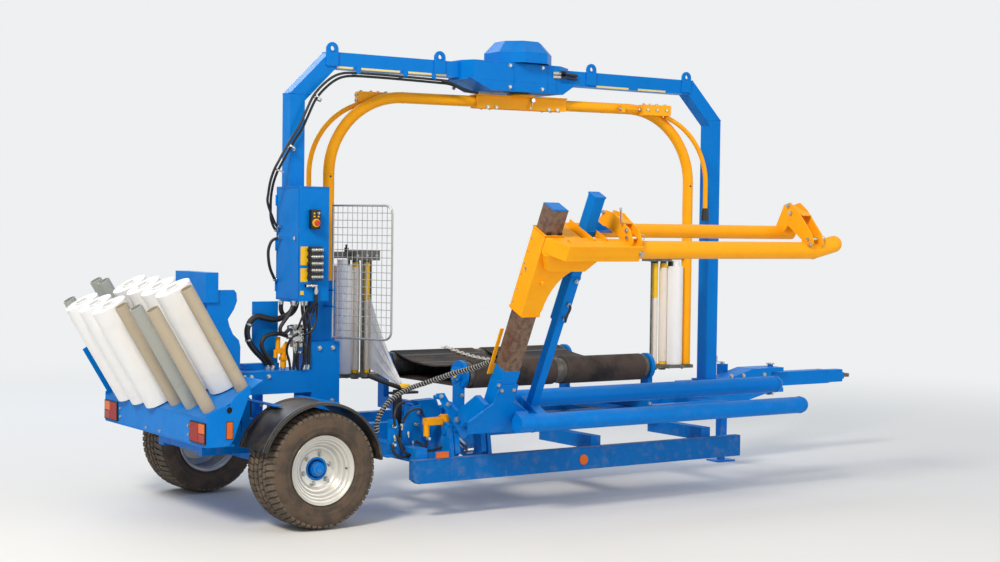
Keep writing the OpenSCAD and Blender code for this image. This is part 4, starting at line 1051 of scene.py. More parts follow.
@dataclass
class Arch:
    """Small parts on the beam and the posts, and the drive under the beam."""

    rear: float = 255.0
    front: float = 4430.0
    top: float = 3330.0
    tube: float = 120.0
    corner_run: float = 325.0
    corner_drop: float = 322.0
    cover_x: float = 2312.0
    cover_r: float = 255.0

    def strips(self) -> None:
        """Lay the pale reflecting strips and clamps under the beam."""
        foil = Piece("beam_foil", FOIL)
        for a, b in ((638, 774), (842, 1181), (1252, 1595), (3060, 3400), (3500, 3800)):
            foil.block((a, b), (-61.4, -60.1), (3211, 3227))
        foil.done(bevel=0.5)
        tabs = Piece("beam_clamps", BLUE)
        for x in (816, 1225, 1480):
            tabs.block((x - 16, x + 16), (-72, -60.2), (3180, 3232)).block((x - 16, x + 16), (-72, 10), (3180, 3188))
        tabs.done(bevel=2)

    def drive(self) -> None:
        """Add bolts, seams, fittings and the hose loop of the drive."""
        spots = [((x, -190.2, z), (0, -1, 0), 12.0 * i, 1.0) for i, (x, z) in enumerate(
            ((2104, 3319), (2104, 3151), (2418, 3320), (2416, 3150)))]
        spots += [((x, 190.2, z), (0, 1, 0), 9.0 * i, 1.0) for i, (x, z) in enumerate(
            ((2104, 3319), (2104, 3151), (2418, 3320), (2416, 3150), (1830, 3319), (1830, 3151)))]
        Copies.put("drive_bolts", hex_bolt("bolt"), spots)
        seam = Piece("drive_seams", BLUE)
        for x in (2140, 2470, 2560):
            for s in (-1, 1):
                seam.block((x, x + 5), (min(s * 190, s * 192.5), max(s * 190, s * 192.5)), (3126, 3342))
        seam.block((1776, 2596), (-191.4, 191.4), (3336, 3340))
        seam.done(bevel=1)
        Hoses.run("drive_hoses", RUBBER, [
            (24, [(2556, -196, 3286), (2590, -206, 3288), (2640, -190, 3292), (2700, -130, 3296), (2760, -84, 3296),
                  (2850, -74, 3292)]),
            (18, [(2556, -196, 3256), (2596, -204, 3252), (2650, -180, 3262), (2710, -118, 3268), (2780, -80, 3266),
                  (2850, -74, 3262)]),
            (19, [(1560, -30, 3160), (1640, -34, 3156), (1720, -50, 3132), (1800, -60, 3106), (1880, -60, 3100)]),
            (19, [(1560, -54, 3174), (1640, -62, 3162), (1720, -84, 3128), (1800, -90, 3106), (1880, -80, 3100)])])
        coil = Piece("drive_hose_coil", DARK)
        for i in range(16):
            t = i / 15
            p = Vector((2590 + 130 * t, -206 + 92 * t * t, 3288 + 6 * t))
            turn = Vector((1, -0.1 - 0.8 * t, 0.04)).to_track_quat("Z", "Y").to_matrix().to_4x4()
            coil.lathe([(12, -2.4), (16.5, 0), (12, 2.4)], Matrix.Translation(p) @ turn, 20)
        coil.done()
        fit = Piece("drive_fittings", ZINC)
        for z in (3286, 3256):
            fit.rod((2526, -184, z), (2562, -198, z), 36, 6).rod((2558, -196, z), (2586, -204, z), 29, 16)
        fit.done()
        Copies.put("eye_washers", Piece("washer", BLUE).lathe([(17.5, 0), (27, 0), (27, 3), (17.5, 3)], sides=28), [
            ((x, -72.1, 3355), (0, -1, 0), 0.0, 1.0) for x in (594, 1532, 3001, 4025)])

    def housing(self) -> None:
        """Build the drive's housing with its faceted cover."""
        body = Piece("drive_housing", BLUE)
        body.plate([(ARM_X + x, y) for x, y in ((-610, -90), (-554, -190), (272, -190), (442, -61), (442, 61),
                                                (272, 190),
                                               (-554, 190), (-610, 90))], (3196, 3345), "xy")
        cheek = [(ARM_X + x, z) for x, z in ((-600, 3205), (-400, 3120), (300, 3120), (420, 3200), (420, 3210),
                                             (-600, 3210))]
        body.plate(cheek, (-189, -150)).plate(cheek, (150, 189))
        body.plate([(ARM_X + x, z) for x, z in ((-560, 3195), (-400, 3122), (300, 3122), (400, 3190), (400, 3210),
                                                (-560, 3210))], (-151, 151))
        turn = Matrix.Rotation(math.radians(22.5), 4, "Z")
        low = self.cover_r / math.cos(math.radians(22.5))
        cover = [(low, 0), (low, 86), (188, 179.5), (20, 179.5), (20, 176), (186, 176), (low - 3, 84), (low - 3, 0)]
        body.lathe(cover, Matrix.Translation((self.cover_x, 0, 3345.2)) @ turn, 8)
        body.rod((self.cover_x, 0, 3519), (self.cover_x, 0, 3524.6), 44, 24)
        body.done(("slew_drive",), bevel=2.5, smooth=20)
        rim = Piece("drive_cover_rim", BLUE, base=MACHINE @ Matrix.Translation((self.cover_x, 0, 3345)) @ turn)
        rim.lathe([(low - 2, 1), (low + 7, 1), (low + 7, 9), (low - 2, 9)], sides=8).done(bevel=1.5)

    def mitres(self) -> None:
        """Raise the weld seams at the mitred corners and put the front post's foot plate down."""
        weld = Piece("beam_welds", BLUE)
        top, bottom, elbow = self.top, self.top - self.tube, self.top - self.corner_drop
        length = math.hypot(self.corner_run, self.corner_drop)
        wide = self.tube * length / self.corner_drop
        lean = self.tube * (length - self.corner_run) / self.corner_drop
        knees = (self.rear + self.corner_run, self.front - self.corner_run)
        for s in (-1, 1):
            y = s * 60.5
            weld.sweep([(self.rear, y, elbow), (self.rear + wide, y, elbow)], 7)
            weld.sweep([(self.front, y, elbow), (self.front - wide, y, elbow)], 7)
            weld.sweep([(knees[0], y, top), (knees[0] + lean, y, bottom)], 7)
            weld.sweep([(knees[1], y, top), (knees[1] - lean, y, bottom)], 7)
            weld.sweep([(self.rear, y, 1490), (self.rear, y, 1640)], 6).sweep([(375, y, 1640), (640, y, 1640)], 6)
        for x in (254.6, 4430.4):
            weld.sweep([(x, -60, elbow), (x, 60, elbow)], 7)
        for x in knees:
            weld.sweep([(x, -60, 3330.4), (x, 60, 3330.4)], 7)
        weld.done()
        plate = Piece("front_post_foot", BLUE)
        plate.block((4290, 4445), (-108, 108), (745, 757)).done(bevel=2)

    def build(self) -> None:
        """Make all parts of the arch."""
        self.strips()
        self.housing()
        self.drive()
        self.mitres()


@dataclass
class Arm:
    """Small parts of the turning arm and of its two film dispensers."""

    reach: float = 1607.0
    leg_z: float = 922.0
    box_in: float = 515.0
    bow_out: float = 136.0
    rollers_in: Span = (227.0, 312.0)

    def hub(self) -> None:
        """Bolt the hub plates together and add the latch."""
        spots = []
        for x in (-305, -231, 239, 316):
            for s in (-1, 1):
                spots.append(((x, s * 57.2, 3001), (0, s, 0), x * 0.3, 1.0))
        Copies.put("hub_bolts", hex_bolt("bolt"), spots, "wrap_arm", ARM)
        latch = Piece("hub_latch", STEEL, "wrap_arm", ARM)
        latch.rod((89, -58, 3069), (89, -84, 3069), 34, 6).rod((89, -76, 3069), (62, -92, 3004), 10, 12)
        latch.ball((62, -92, 3004), 20).done()
        collar = Piece("hub_collar", ORANGE, "wrap_arm", ARM)
        collar.lathe([(61, 3105), (96, 3105), (96, 3114), (70, 3118), (61, 3118)], sides=40).done()

    def half(self, word: str, base: Matrix) -> None:
        """Add the fixings of one half of the arm.

        Args:
            word: Front or rear, as the CAD nodes have it.
            base: Local frame of this half.
        """
        x0 = self.reach - self.box_in
        spots = [((x0 + 30, -66, 3080), (0, 0, 1), 0, 0.9), ((x0 + 90, -72, 3080), (0, 0, 1), 20, 0.9),
                 ((x0 + 150, -72, 3080), (0, 0, 1), 40, 0.9), ((x0 + 232, -72, 3080), (0, 0, 1), 40, 0.9)]
        spots += [((x0 + 266.2, y, z), (1, 0, 0), 11, 0.7) for y in (-95, -60) for z in (3015, 3058)]
        spots += [((x0 + x, -113.2, 3037), (0, -1, 0), 5, 0.8) for x in (40, 130, 220)]
        Copies.put(f"arm_box_bolts_{word}", hex_bolt("bolt"), spots, "wrap_arm", base)
        nuts = Piece(f"arm_rod_nuts_{word}", ZINC, "wrap_arm", base)
        for x in (x0 - 170, x0 - 196, x0 - 20, x0 - 6):
            nuts.rod((x - 6, -73, 3039), (x + 6, -73, 3039), 32, 6)
        nuts.rod((x0 - 214, -73, 3039), (x0 - 190, -73, 3039), 16, 16).done()
        bow = Piece(f"bow_foot_{word}", DARK, "wrap_arm", base)
        end = self.reach + self.bow_out
        bow.rod((end, -63, 2132), (end, -63, 2226), 72, 28, 60)
        bow.rod((end, -63, 2222), (end, -63, 2236), 56, 24).done(bevel=3)
        weld = Piece(f"arm_welds_{word}", ORANGE, "wrap_arm", base)
        for at in (Matrix.Translation((1007, 0, 3044)) @ Matrix.Rotation(math.pi / 2, 4, "Y"),
                   Matrix.Translation((self.reach, 0, 2444))):
            weld.lathe([(42.5, -4), (44.6, -2), (44.6, 2), (42.5, 4)], at, 40)
        weld.done()
        sockets = Piece(f"leg_socket_{word}", DARK, "wrap_arm", base)
        for s in (-1, 1):
            sockets.rod((self.reach, s * 43.4, 2421), (self.reach, s * 41, 2421), 17)
        sockets.done()

    def dispenser(self, word: str, base: Matrix) -> None:
        """Add roller caps, bearings, knob and the film's web of one dispenser.

        Args:
            word: Front or rear, as the CAD nodes have it.
            base: Local frame of this half.
        """
        r, z = self.reach, self.leg_z
        wrapped, bare = (r - x for x in self.rollers_in)
        gold = Piece(f"dispenser_caps_{word}", YELLOW, "wrap_arm", base)
        for x in (wrapped, bare):
            gold.rod((x, 0, z + 812), (x, 0, z + 850), 60, 32).rod((x, 0, z + 2), (x, 0, z + 26), 60, 32)
        gold.rod((bare, 0, z + 560), (bare, 0, z + 812), 57, 32)
        for level in (640, 730):
            gold.rod((bare, 0, z + level), (bare, 0, z + level + 6), 60, 32)
        gold.done()
        film = Piece(f"dispenser_web_{word}", WRAP, "wrap_arm", base)
        film.rod((wrapped, 0, z + 26), (wrapped, 0, z + 812), 66, 40)
        film.rod((bare, 0, z + 26), (bare, 0, z + 560), 56.5, 40)
        film.block((r - 200, r - 158), (26, 27), (z + 60, z + 790)).done()
        dark = Piece(f"dispenser_bearings_{word}", DARK, "wrap_arm", base)
        for x in (wrapped, bare):
            dark.rod((x, 0, z + 820), (x, 0, z + 836), 58, 28)
            dark.rod((x, 0, z - 44), (x, 0, z - 28), 60, 28)
        dark.rod((r - 364, -35, z + 862), (r - 364, -35, z + 884), 32, 16).done()
        under = ((r - 60, 50), (r - 60, -50), (r - 160, 0), (r - 400, -40))
        spots = [((x, y, z - 28.1), (0, 0, -1), 0.0, 0.8) for x, y in under]
        spots += [((x, s * 70.2, z + 902), (0, s, 0), 0.0, 0.7) for x in (r - 370, r - 292, r - 214) for s in (-1, 1)]
        Copies.put(f"dispenser_bolts_{word}", hex_bolt("bolt"), spots, "wrap_arm", base)
        grip = Piece(f"dispenser_knob_{word}", DARK, "wrap_arm", base)
        grip.rod((r - 150, 0, z + 890), (r - 150, 0, z + 960), 34, 16)
        grip.rod((r - 150, 0, z + 955), (r - 150, 0, z + 985), 20, 12)
        grip.rod((r - 150, 0, z + 826), (r - 150, 0, z + 866), 60, 24).done()

    def film_end(self) -> None:
        """Draw the film from the rear dispenser's last roller to the cutter, tapering in shallow folds."""
        rows, columns = 26, 30
        (x0, y0), (x1, y1) = (1064, 176), (870, -640)
        bm = bmesh.new()
        grid = []
        for i in range(rows + 1):
            u = i / rows
            line = []
            for j in range(columns + 1):
                v = j / columns
                x = x0 + (x1 - x0) * u
                y = y0 + (y1 - y0) * u
                z = (960 + 590 * v) * (1 - u) + (884 + 38 * v) * u - 46 * math.sin(math.pi * u) * v
                fold = 11 * u * math.sin(v * 21 + 0.7 * math.sin(5 * u)) + 5 * u * math.sin(v * 47 + 3 * u)
                line.append(bm.verts.new((x + fold, y + 0.25 * fold, z)))
            grid.append(line)
        for i in range(rows):
            for j in range(columns):
                bm.faces.new((grid[i][j], grid[i + 1][j], grid[i + 1][j + 1], grid[i][j + 1]))
        mesh = bpy.data.meshes.new("film_end")
        bm.to_mesh(mesh)
        # This is the drawn form's own area. The full cut of 0.75 by 0.87 metres has 0.65 square metres, so the drawn
        # film holds too little of it, and a check against this value can't show that.
        area = sum(f.calc_area() for f in bm.faces) / 1e6
        bm.free()
        mesh.transform(MACHINE)
        web = settle(mesh, "film_end", WEB, "wrap_arm")

    def build(self) -> None:
        """Make all parts of the arm."""
        self.hub()
        for word, base in (("front", ARM), ("rear", ARM_BACK)):
            self.half(word, base)
            self.dispenser(word, base)
        self.film_end()


@dataclass
class Controls:
    """Parts on the control box, its valves and the hoses from it."""

    panel_y: float = -277.0
    slices: int = 5
    slice_z: float = 1674.0
    slice_step: float = 49.0

    def panel(self) -> None:
        """Set the stop button, signs and door seams."""
        y = self.panel_y
        Piece("stop_panel", DARK).block((325, 400), (y, -228.1), (2022, 2162)).done(bevel=7)
        Piece("stop_ring", YELLOW).rod((359, y - 0.5, 2066), (359, y - 9, 2066), 60, 36).done(bevel=1)
        Piece("stop_cap", RED).rod((359, y - 8, 2066), (359, y - 20, 2066), 24, 24).rod(
            (359, y - 18, 2066), (359, y - 30, 2066), 42, 32, 36).done(bevel=2)
        dots = Piece("panel_marks", YELLOW)
        for x, z in ((345, 2134), (345, 2112), (378, 2112)):
            dots.rod((x, y - 0.5, z), (x, y - 5, z), 13, 16)
        dots.done()
        Piece("panel_knob", ZINC).rod((378, y - 0.5, 2136), (378, y - 12, 2136), 20, 24).rod(
            (378, y - 11, 2136), (378, y - 18, 2136), 12, 20).done(bevel=1)
        plates = Piece("blank_plates", YELLOW)
        plates.block((262, 322), (-230.2, -228.1), (1760, 1895)).block((262, 318), (-230.2, -228.1), (1640, 1738))
        plates.block((262, 290), (-230.2, -228.1), (1545, 1575)).done(bevel=0.5)
        seam = Piece("door_seams", BLUE)
        seam.block((247.6, 250.1), (-222, 126), (1512, 1518)).block((247.6, 250.1), (-222, 126), (2316, 2322))
        seam.block((247.6, 250.1), (-222, -216), (1512, 2322)).block((247.6, 250.1), (120, 126), (1512, 2322))
        seam.block((256, 488), (-230.4, -228.1), (2318, 2324)).done(bevel=1)
        clips = Piece("door_clips", STEEL)
        for z0, z1 in ((138, 25), (-132, -210)):
            clips.block((238, 250.2), (min(z0, z1) + 24, max(z0, z1) - 24), (1944, 1962))
            clips.rod((242, (z0 + z1) / 2, 1938), (242, (z0 + z1) / 2, 1970), 9, 12)
        clips.done(bevel=1)
        hinges = Piece("door_hinges", BLUE)
        for z in (1600, 1900, 2230):
            hinges.rod((247, 128, z - 40), (247, 128, z + 40), 16, 16)
        hinges.done()

    def valves(self) -> None:
        """Fit the slices, ribbed spools and elbows of the valve bank."""
        back = Piece("valve_bank_body", DARK)
        back.block((328, 426), (-260, -228.4), (1650, 1896))
        levels = [self.slice_z + self.slice_step * i for i in range(self.slices)]
        for z in levels:
            back.block((318, 332), (-268, -234), (z - 20, z + 20)).rod((318, -252, z), (306, -252, z), 22, 16)
        back.done(("valve_bank",), bevel=2)
        spool = Piece("valve_spools", STEEL)
        for z in levels:
            spool.rod((332, -260, z), (428, -260, z), 20, 24)
            for k in range(7):
                spool.rod((335 + 13.5 * k, -260, z), (341 + 13.5 * k, -260, z), 35, 24)
        spool.done()
        elbows = Piece("elbows", STEEL)
        elbows.rod((296, -246, 1612), (376, -246, 1612), 24, 16).rod((296, -246, 1612), (310, -246, 1612), 32, 6)
        elbows.rod((340, -246, 1612), (352, -246, 1612), 32, 6).ball((380, -246, 1610), 28)
        elbows.rod((380, -246, 1610), (380, -246, 1545), 24, 16).rod((380, -246, 1585), (380, -246, 1560), 33, 6)
        elbows.rod((316, -229, 1612), (316, -246, 1612), 22, 12).done()
        bend = [(380, -246, 1550), (382, -246, 1515), (378, -238, 1480), (360, -215, 1450), (352, -190, 1420)]
        Piece("elbow_hose", RUBBER).sweep([tuple(p) for p in smooth_path(bend, 8)], 27, 14).done()

    def hoses(self) -> None:
        """Lay the held hoses on the routes of the CAD part, the second riser a little apart, with end fittings."""
        riser = [(175, 75, 2100), (160, 50, 2180), (148, 20, 2260), (140, -30, 2350), (150, -70, 2430),
                 (175, -88, 2490), (222, -90, 2573), (281, -90, 2667), (332, -90, 2737), (382, -90, 2839),
                 (433, -90, 2945), (475, -90, 3005), (536, -88, 3065), (606, -78, 3115), (685, -55, 3148),
                 (790, -35, 3165), (1000, -30, 3168), (1300, -30, 3165), (1590, -30, 3160)]
        routes = [
            (44, [(330, 0, 1489), (330, 0, 1465), (318, 0, 1428), (290, 0, 1396), (240, 0, 1373), (169, 0, 1358),
                  (96, 0, 1373), (32, 0, 1384), (-18, 0, 1352), (-43, 0, 1296), (-42, 0, 1244), (-24, 0, 1192),
                  (20, -2, 1135), (75, -4, 1082), (112, -5, 1040), (122, -5, 1015), (122, -5, 996)]),
            (32, [(264, -92, 1238), (250, -92, 1238), (235, -86, 1241), (215, -72, 1250), (185, -58, 1258),
                  (128, -50, 1257), (75, -50, 1240), (50, -50, 1204), (51, -50, 1160), (82, -50, 1108),
                  (122, -50, 1058), (138, -50, 1022), (138, -50, 996)]),
            (34, [(266, 78, 1499), (266, 78, 1470), (266, 78, 1425), (287, 78, 1388), (336, 78, 1386), (376, 78, 1420),
                  (396, 78, 1465), (396, 78, 1499)]),
            (28, [(272, -105, 1499), (272, -105, 1465), (238, -105, 1400), (194, -105, 1345), (168, -105, 1305),
                  (172, -105, 1272), (200, -105, 1262), (228, -105, 1282), (246, -105, 1303), (254, -105, 1306),
                  (264, -105, 1306)]),
            (24, [(322, -150, 1499), (322, -150, 1440), (330, -150, 1385), (345, -146, 1310), (356, -132, 1233),
                  (358, -122, 1158), (356, -120, 1045), (356, -120, 996)]),
            (24, [(352, -150, 1499), (352, -150, 1440), (366, -150, 1370), (380, -148, 1310), (389, -140, 1245),
                  (392, -124, 1172), (390, -120, 1050), (390, -120, 996)]),
            (20, [(290, -92, 1159), (290, -92, 1080), (285, -92, 1040), (285, -92, 996)]),
            (20, [(318, -92, 1159), (318, -92, 1080), (318, -92, 996)]),
            (22, [(249, 50, 1951), (215, 50, 1951), (175, 58, 1930), (155, 68, 1870), (160, 78, 1800), (180, 90, 1730),
                  (212, 100, 1670), (232, 105, 1646), (249, 105, 1646)]),
            (19, [(249, 95, 2010), (232, 95, 2010), (205, 90, 2035)] + riser + [(1621, -30, 3160)]),
            (19, [(249, 60, 2035), (232, 60, 2035), (200, 56, 2060)]
                + [(x - 34, y - 24, z + 20) for x, y, z in riser[1:]] + [(1621, -54, 3174)]),
        ]
        Hoses.run("hose_bundle", RUBBER, routes, replaces=("hoses",))
        ends = Piece("hose_ends", STEEL)
        for p, a, d in (((330, 0, 1489), (0, 0, -1), 44), ((266, 78, 1499), (0, 0, -1), 34),
                        ((396, 78, 1499), (0, 0, -1), 34), ((272, -105, 1499), (0, 0, -1), 28),
                        ((322, -150, 1499), (0, 0, -1), 24), ((352, -150, 1499), (0, 0, -1), 24),
                        ((264, -92, 1238), (-1, 0, 0), 32), ((264, -105, 1306), (-1, 0, 0), 28),
                        ((122, -5, 996), (0, 0, 1), 44), ((138, -50, 996), (0, 0, 1), 32),
                        ((356, -120, 996), (0, 0, 1), 24), ((390, -120, 996), (0, 0, 1), 24),
                        ((249, 95, 2010), (-1, 0, 0), 22), ((249, 60, 2035), (-1, 0, 0), 22),
                        ((249, 50, 1951), (-1, 0, 0), 22), ((249, 105, 1646), (-1, 0, 0), 22),
                        ((290, -92, 1159), (0, 0, -1), 20), ((318, -92, 1159), (0, 0, -1), 20)):
            q = Vector(p)
            v = Vector(a)
            ends.rod(tuple(q), tuple(q + v * 16), d * 1.25, 6).rod(tuple(q + v * 15), tuple(q + v * 34), d * 1.12, 20)
        ends.done()
        wraps = Piece("hose_clamps", ZINC)
        for p, axis, r in (((-30, 0, 1325), (0.35, 0, 1), 23), ((-36, -1, 1215), (-0.25, 0, 1), 23)):
            turn = Vector(axis).to_track_quat("Z", "Y").to_matrix().to_4x4()
            wraps.lathe([(r - 0.5, -7), (r + 2, -7), (r + 2, 7), (r - 0.5, 7)], Matrix.Translation(p) @ turn, 24)
        for p, axis in (((249, -98, 2610), (0.55, 0, 0.84)), ((458, -98, 2978), (0.6, 0, 0.8)),
                        ((160, -90, 2440), (0.3, -0.2, 1))):
            turn = Vector(axis).to_track_quat("Z", "Y").to_matrix().to_4x4()
            wraps.lathe([(33, -6), (35, -6), (35, 6), (33, 6)], Matrix.Translation(p) @ turn, 20)
        wraps.done()

    def lower_block(self) -> None:
        """Dress the fitting block under the box and the valve behind the hoses."""
        part = Piece("orange_valve", ORANGE)
        part.block((178, 250), (-40, -4), (1112, 1150)).rod((192, -22, 1148), (192, -22, 1232), 36, 20)
        part.rod((236, -22, 1010), (236, -22, 1116), 44, 20).rod((228, -22, 1140), (268, -22, 1190), 30, 16)
        part.block((214, 262), (-48, 4), (1060, 1086)).rod((172, -22, 1140), (172, -22, 1080), 26, 16).done(bevel=2)
        Piece("fitting_block", ZINC).block((265, 345), (-120, -65), (1160, 1325)).done(bevel=4)
        Hoses.run("block_hoses", RUBBER, [
            (16, [(282, -146, 1292), (280, -172, 1310), (300, -190, 1380), (340, -190, 1440), (366, -180, 1488)]),
            (16, [(325, -146, 1292), (330, -176, 1300), (352, -196, 1360), (400, -196, 1440), (412, -180, 1488)]),
            (16, [(282, -146, 1200), (276, -180, 1190), (262, -190, 1120), (270, -160, 1050), (296, -140, 996)]),
            (16, [(325, -146, 1200), (330, -186, 1180), (336, -190, 1110), (320, -170, 1040), (316, -150, 996)]),
            (18, [(282, -146, 1250), (262, -190, 1262), (216, -170, 1220), (214, -120, 1140), (240, -110, 1060),
                  (250, -110, 996)]),
            (16, [(325, -146, 1250), (380, -190, 1280), (420, -180, 1360), (432, -170, 1440), (436, -160, 1488)])])
        steel = Piece("block_fittings", STEEL)
        for x, z in ((282, 1200), (282, 1250), (282, 1292), (325, 1200), (325, 1250), (325, 1292)):
            steel.rod((x, -120, z), (x, -140, z), 26, 6).rod((x, -138, z), (x, -150, z), 18, 16)
        steel.rod((236, -22, 996), (236, -22, 1014), 34, 6).rod((345, -96, 1276), (372, -96, 1282), 32, 6)
        steel.rod((370, -96, 1282), (418, -96, 1290), 24, 16).rod((418, -96, 1290), (430, -96, 1292), 31, 6)
        steel.rod((286, -96, 1122), (372, -96, 1122), 18, 16).rod((286, -96, 1122), (300, -96, 1122), 27, 6)
        steel.rod((326, -96, 1122), (340, -96, 1122), 27, 6).rod((305, -92, 1122), (305, -92, 1160), 20, 12)
        steel.rod((345, -80, 1205), (368, -80, 1205), 27, 6).rod((272, -132, 1325), (272, -132, 1300), 22, 12)
        steel.ball((345, -120, 1240), 24).ball((265, -110, 1220), 22)
        steel.done()
        spots = [((x, -140.2, z), (0, -1, 0), 15, 1.0) for x, z in ((-131, 960), (-76, 958), (-250, 960), (60, 958))]
        spots += [((x, -140.2, z), (0, -1, 0), 15, 1.1) for x, z in ((470, 1150), (580, 1150), (470, 760), (580, 760))]
        spots += [((-340.3, y, z), (-1, 0, 0), 15, 1.0) for y, z in ((-100, 950), (100, 950), (-100, 870), (100, 870))]
        Copies.put("stand_bolts", hex_bolt("bolt"), spots)

    def build(self) -> None:
        """Make all parts of the controls."""
        self.panel()
        self.valves()
        self.hoses()
        self.lower_block()


@dataclass
class Guard:
    """Swinging guard: a tube frame with a fine wire mesh."""

    width: float = 522.0
    low: float = 1230.0
    high: float = 2197.0
    corner: float = 60.0
    hinge: Span = (560.0, -170.0)
    turn: float = -65.0
    rows: int = 18
    columns: int = 12

    def build(self) -> None:
        """Bend the frame and weld the wires into it."""
        base = (MACHINE @ Matrix.Translation((*self.hinge, 0))
                @ Matrix.Rotation(math.radians(self.turn), 4, "Z"))
        w, a, b, r = self.width, self.low, self.high, self.corner
        bends = [math.radians(d) for d in range(15, 90, 15)]
        path = [(0, 0, a), (w - r, 0, a)]
        path += [(w - r + r * math.sin(t), 0, a + r - r * math.cos(t)) for t in bends]
        path += [(w, 0, a + r), (w, 0, b - r)]
        path += [(w - r + r * math.cos(t), 0, b - r + r * math.sin(t)) for t in bends]
        path += [(w - r, 0, b), (0, 0, b)]
        frame_tube = Piece("guard_frame", ZINC, "guard", base)
        frame_tube.sweep(path, 15.5, 14).rod((0, 0, a - 7), (0, 0, b + 7), 15.8, 16)
        frame_tube.done(("guard",))
        wires = Piece("guard_wires", ZINC, "guard", base)
        for i in range(1, self.rows):
            z = a + (b - a) * i / self.rows
            wires.rod((0, 3, z), (w, 3, z), 5, 8)
        for i in range(1, self.columns):
            x = w * i / self.columns
            wires.rod((x, -2, a), (x, -2, b), 5, 8)
        wires.done()


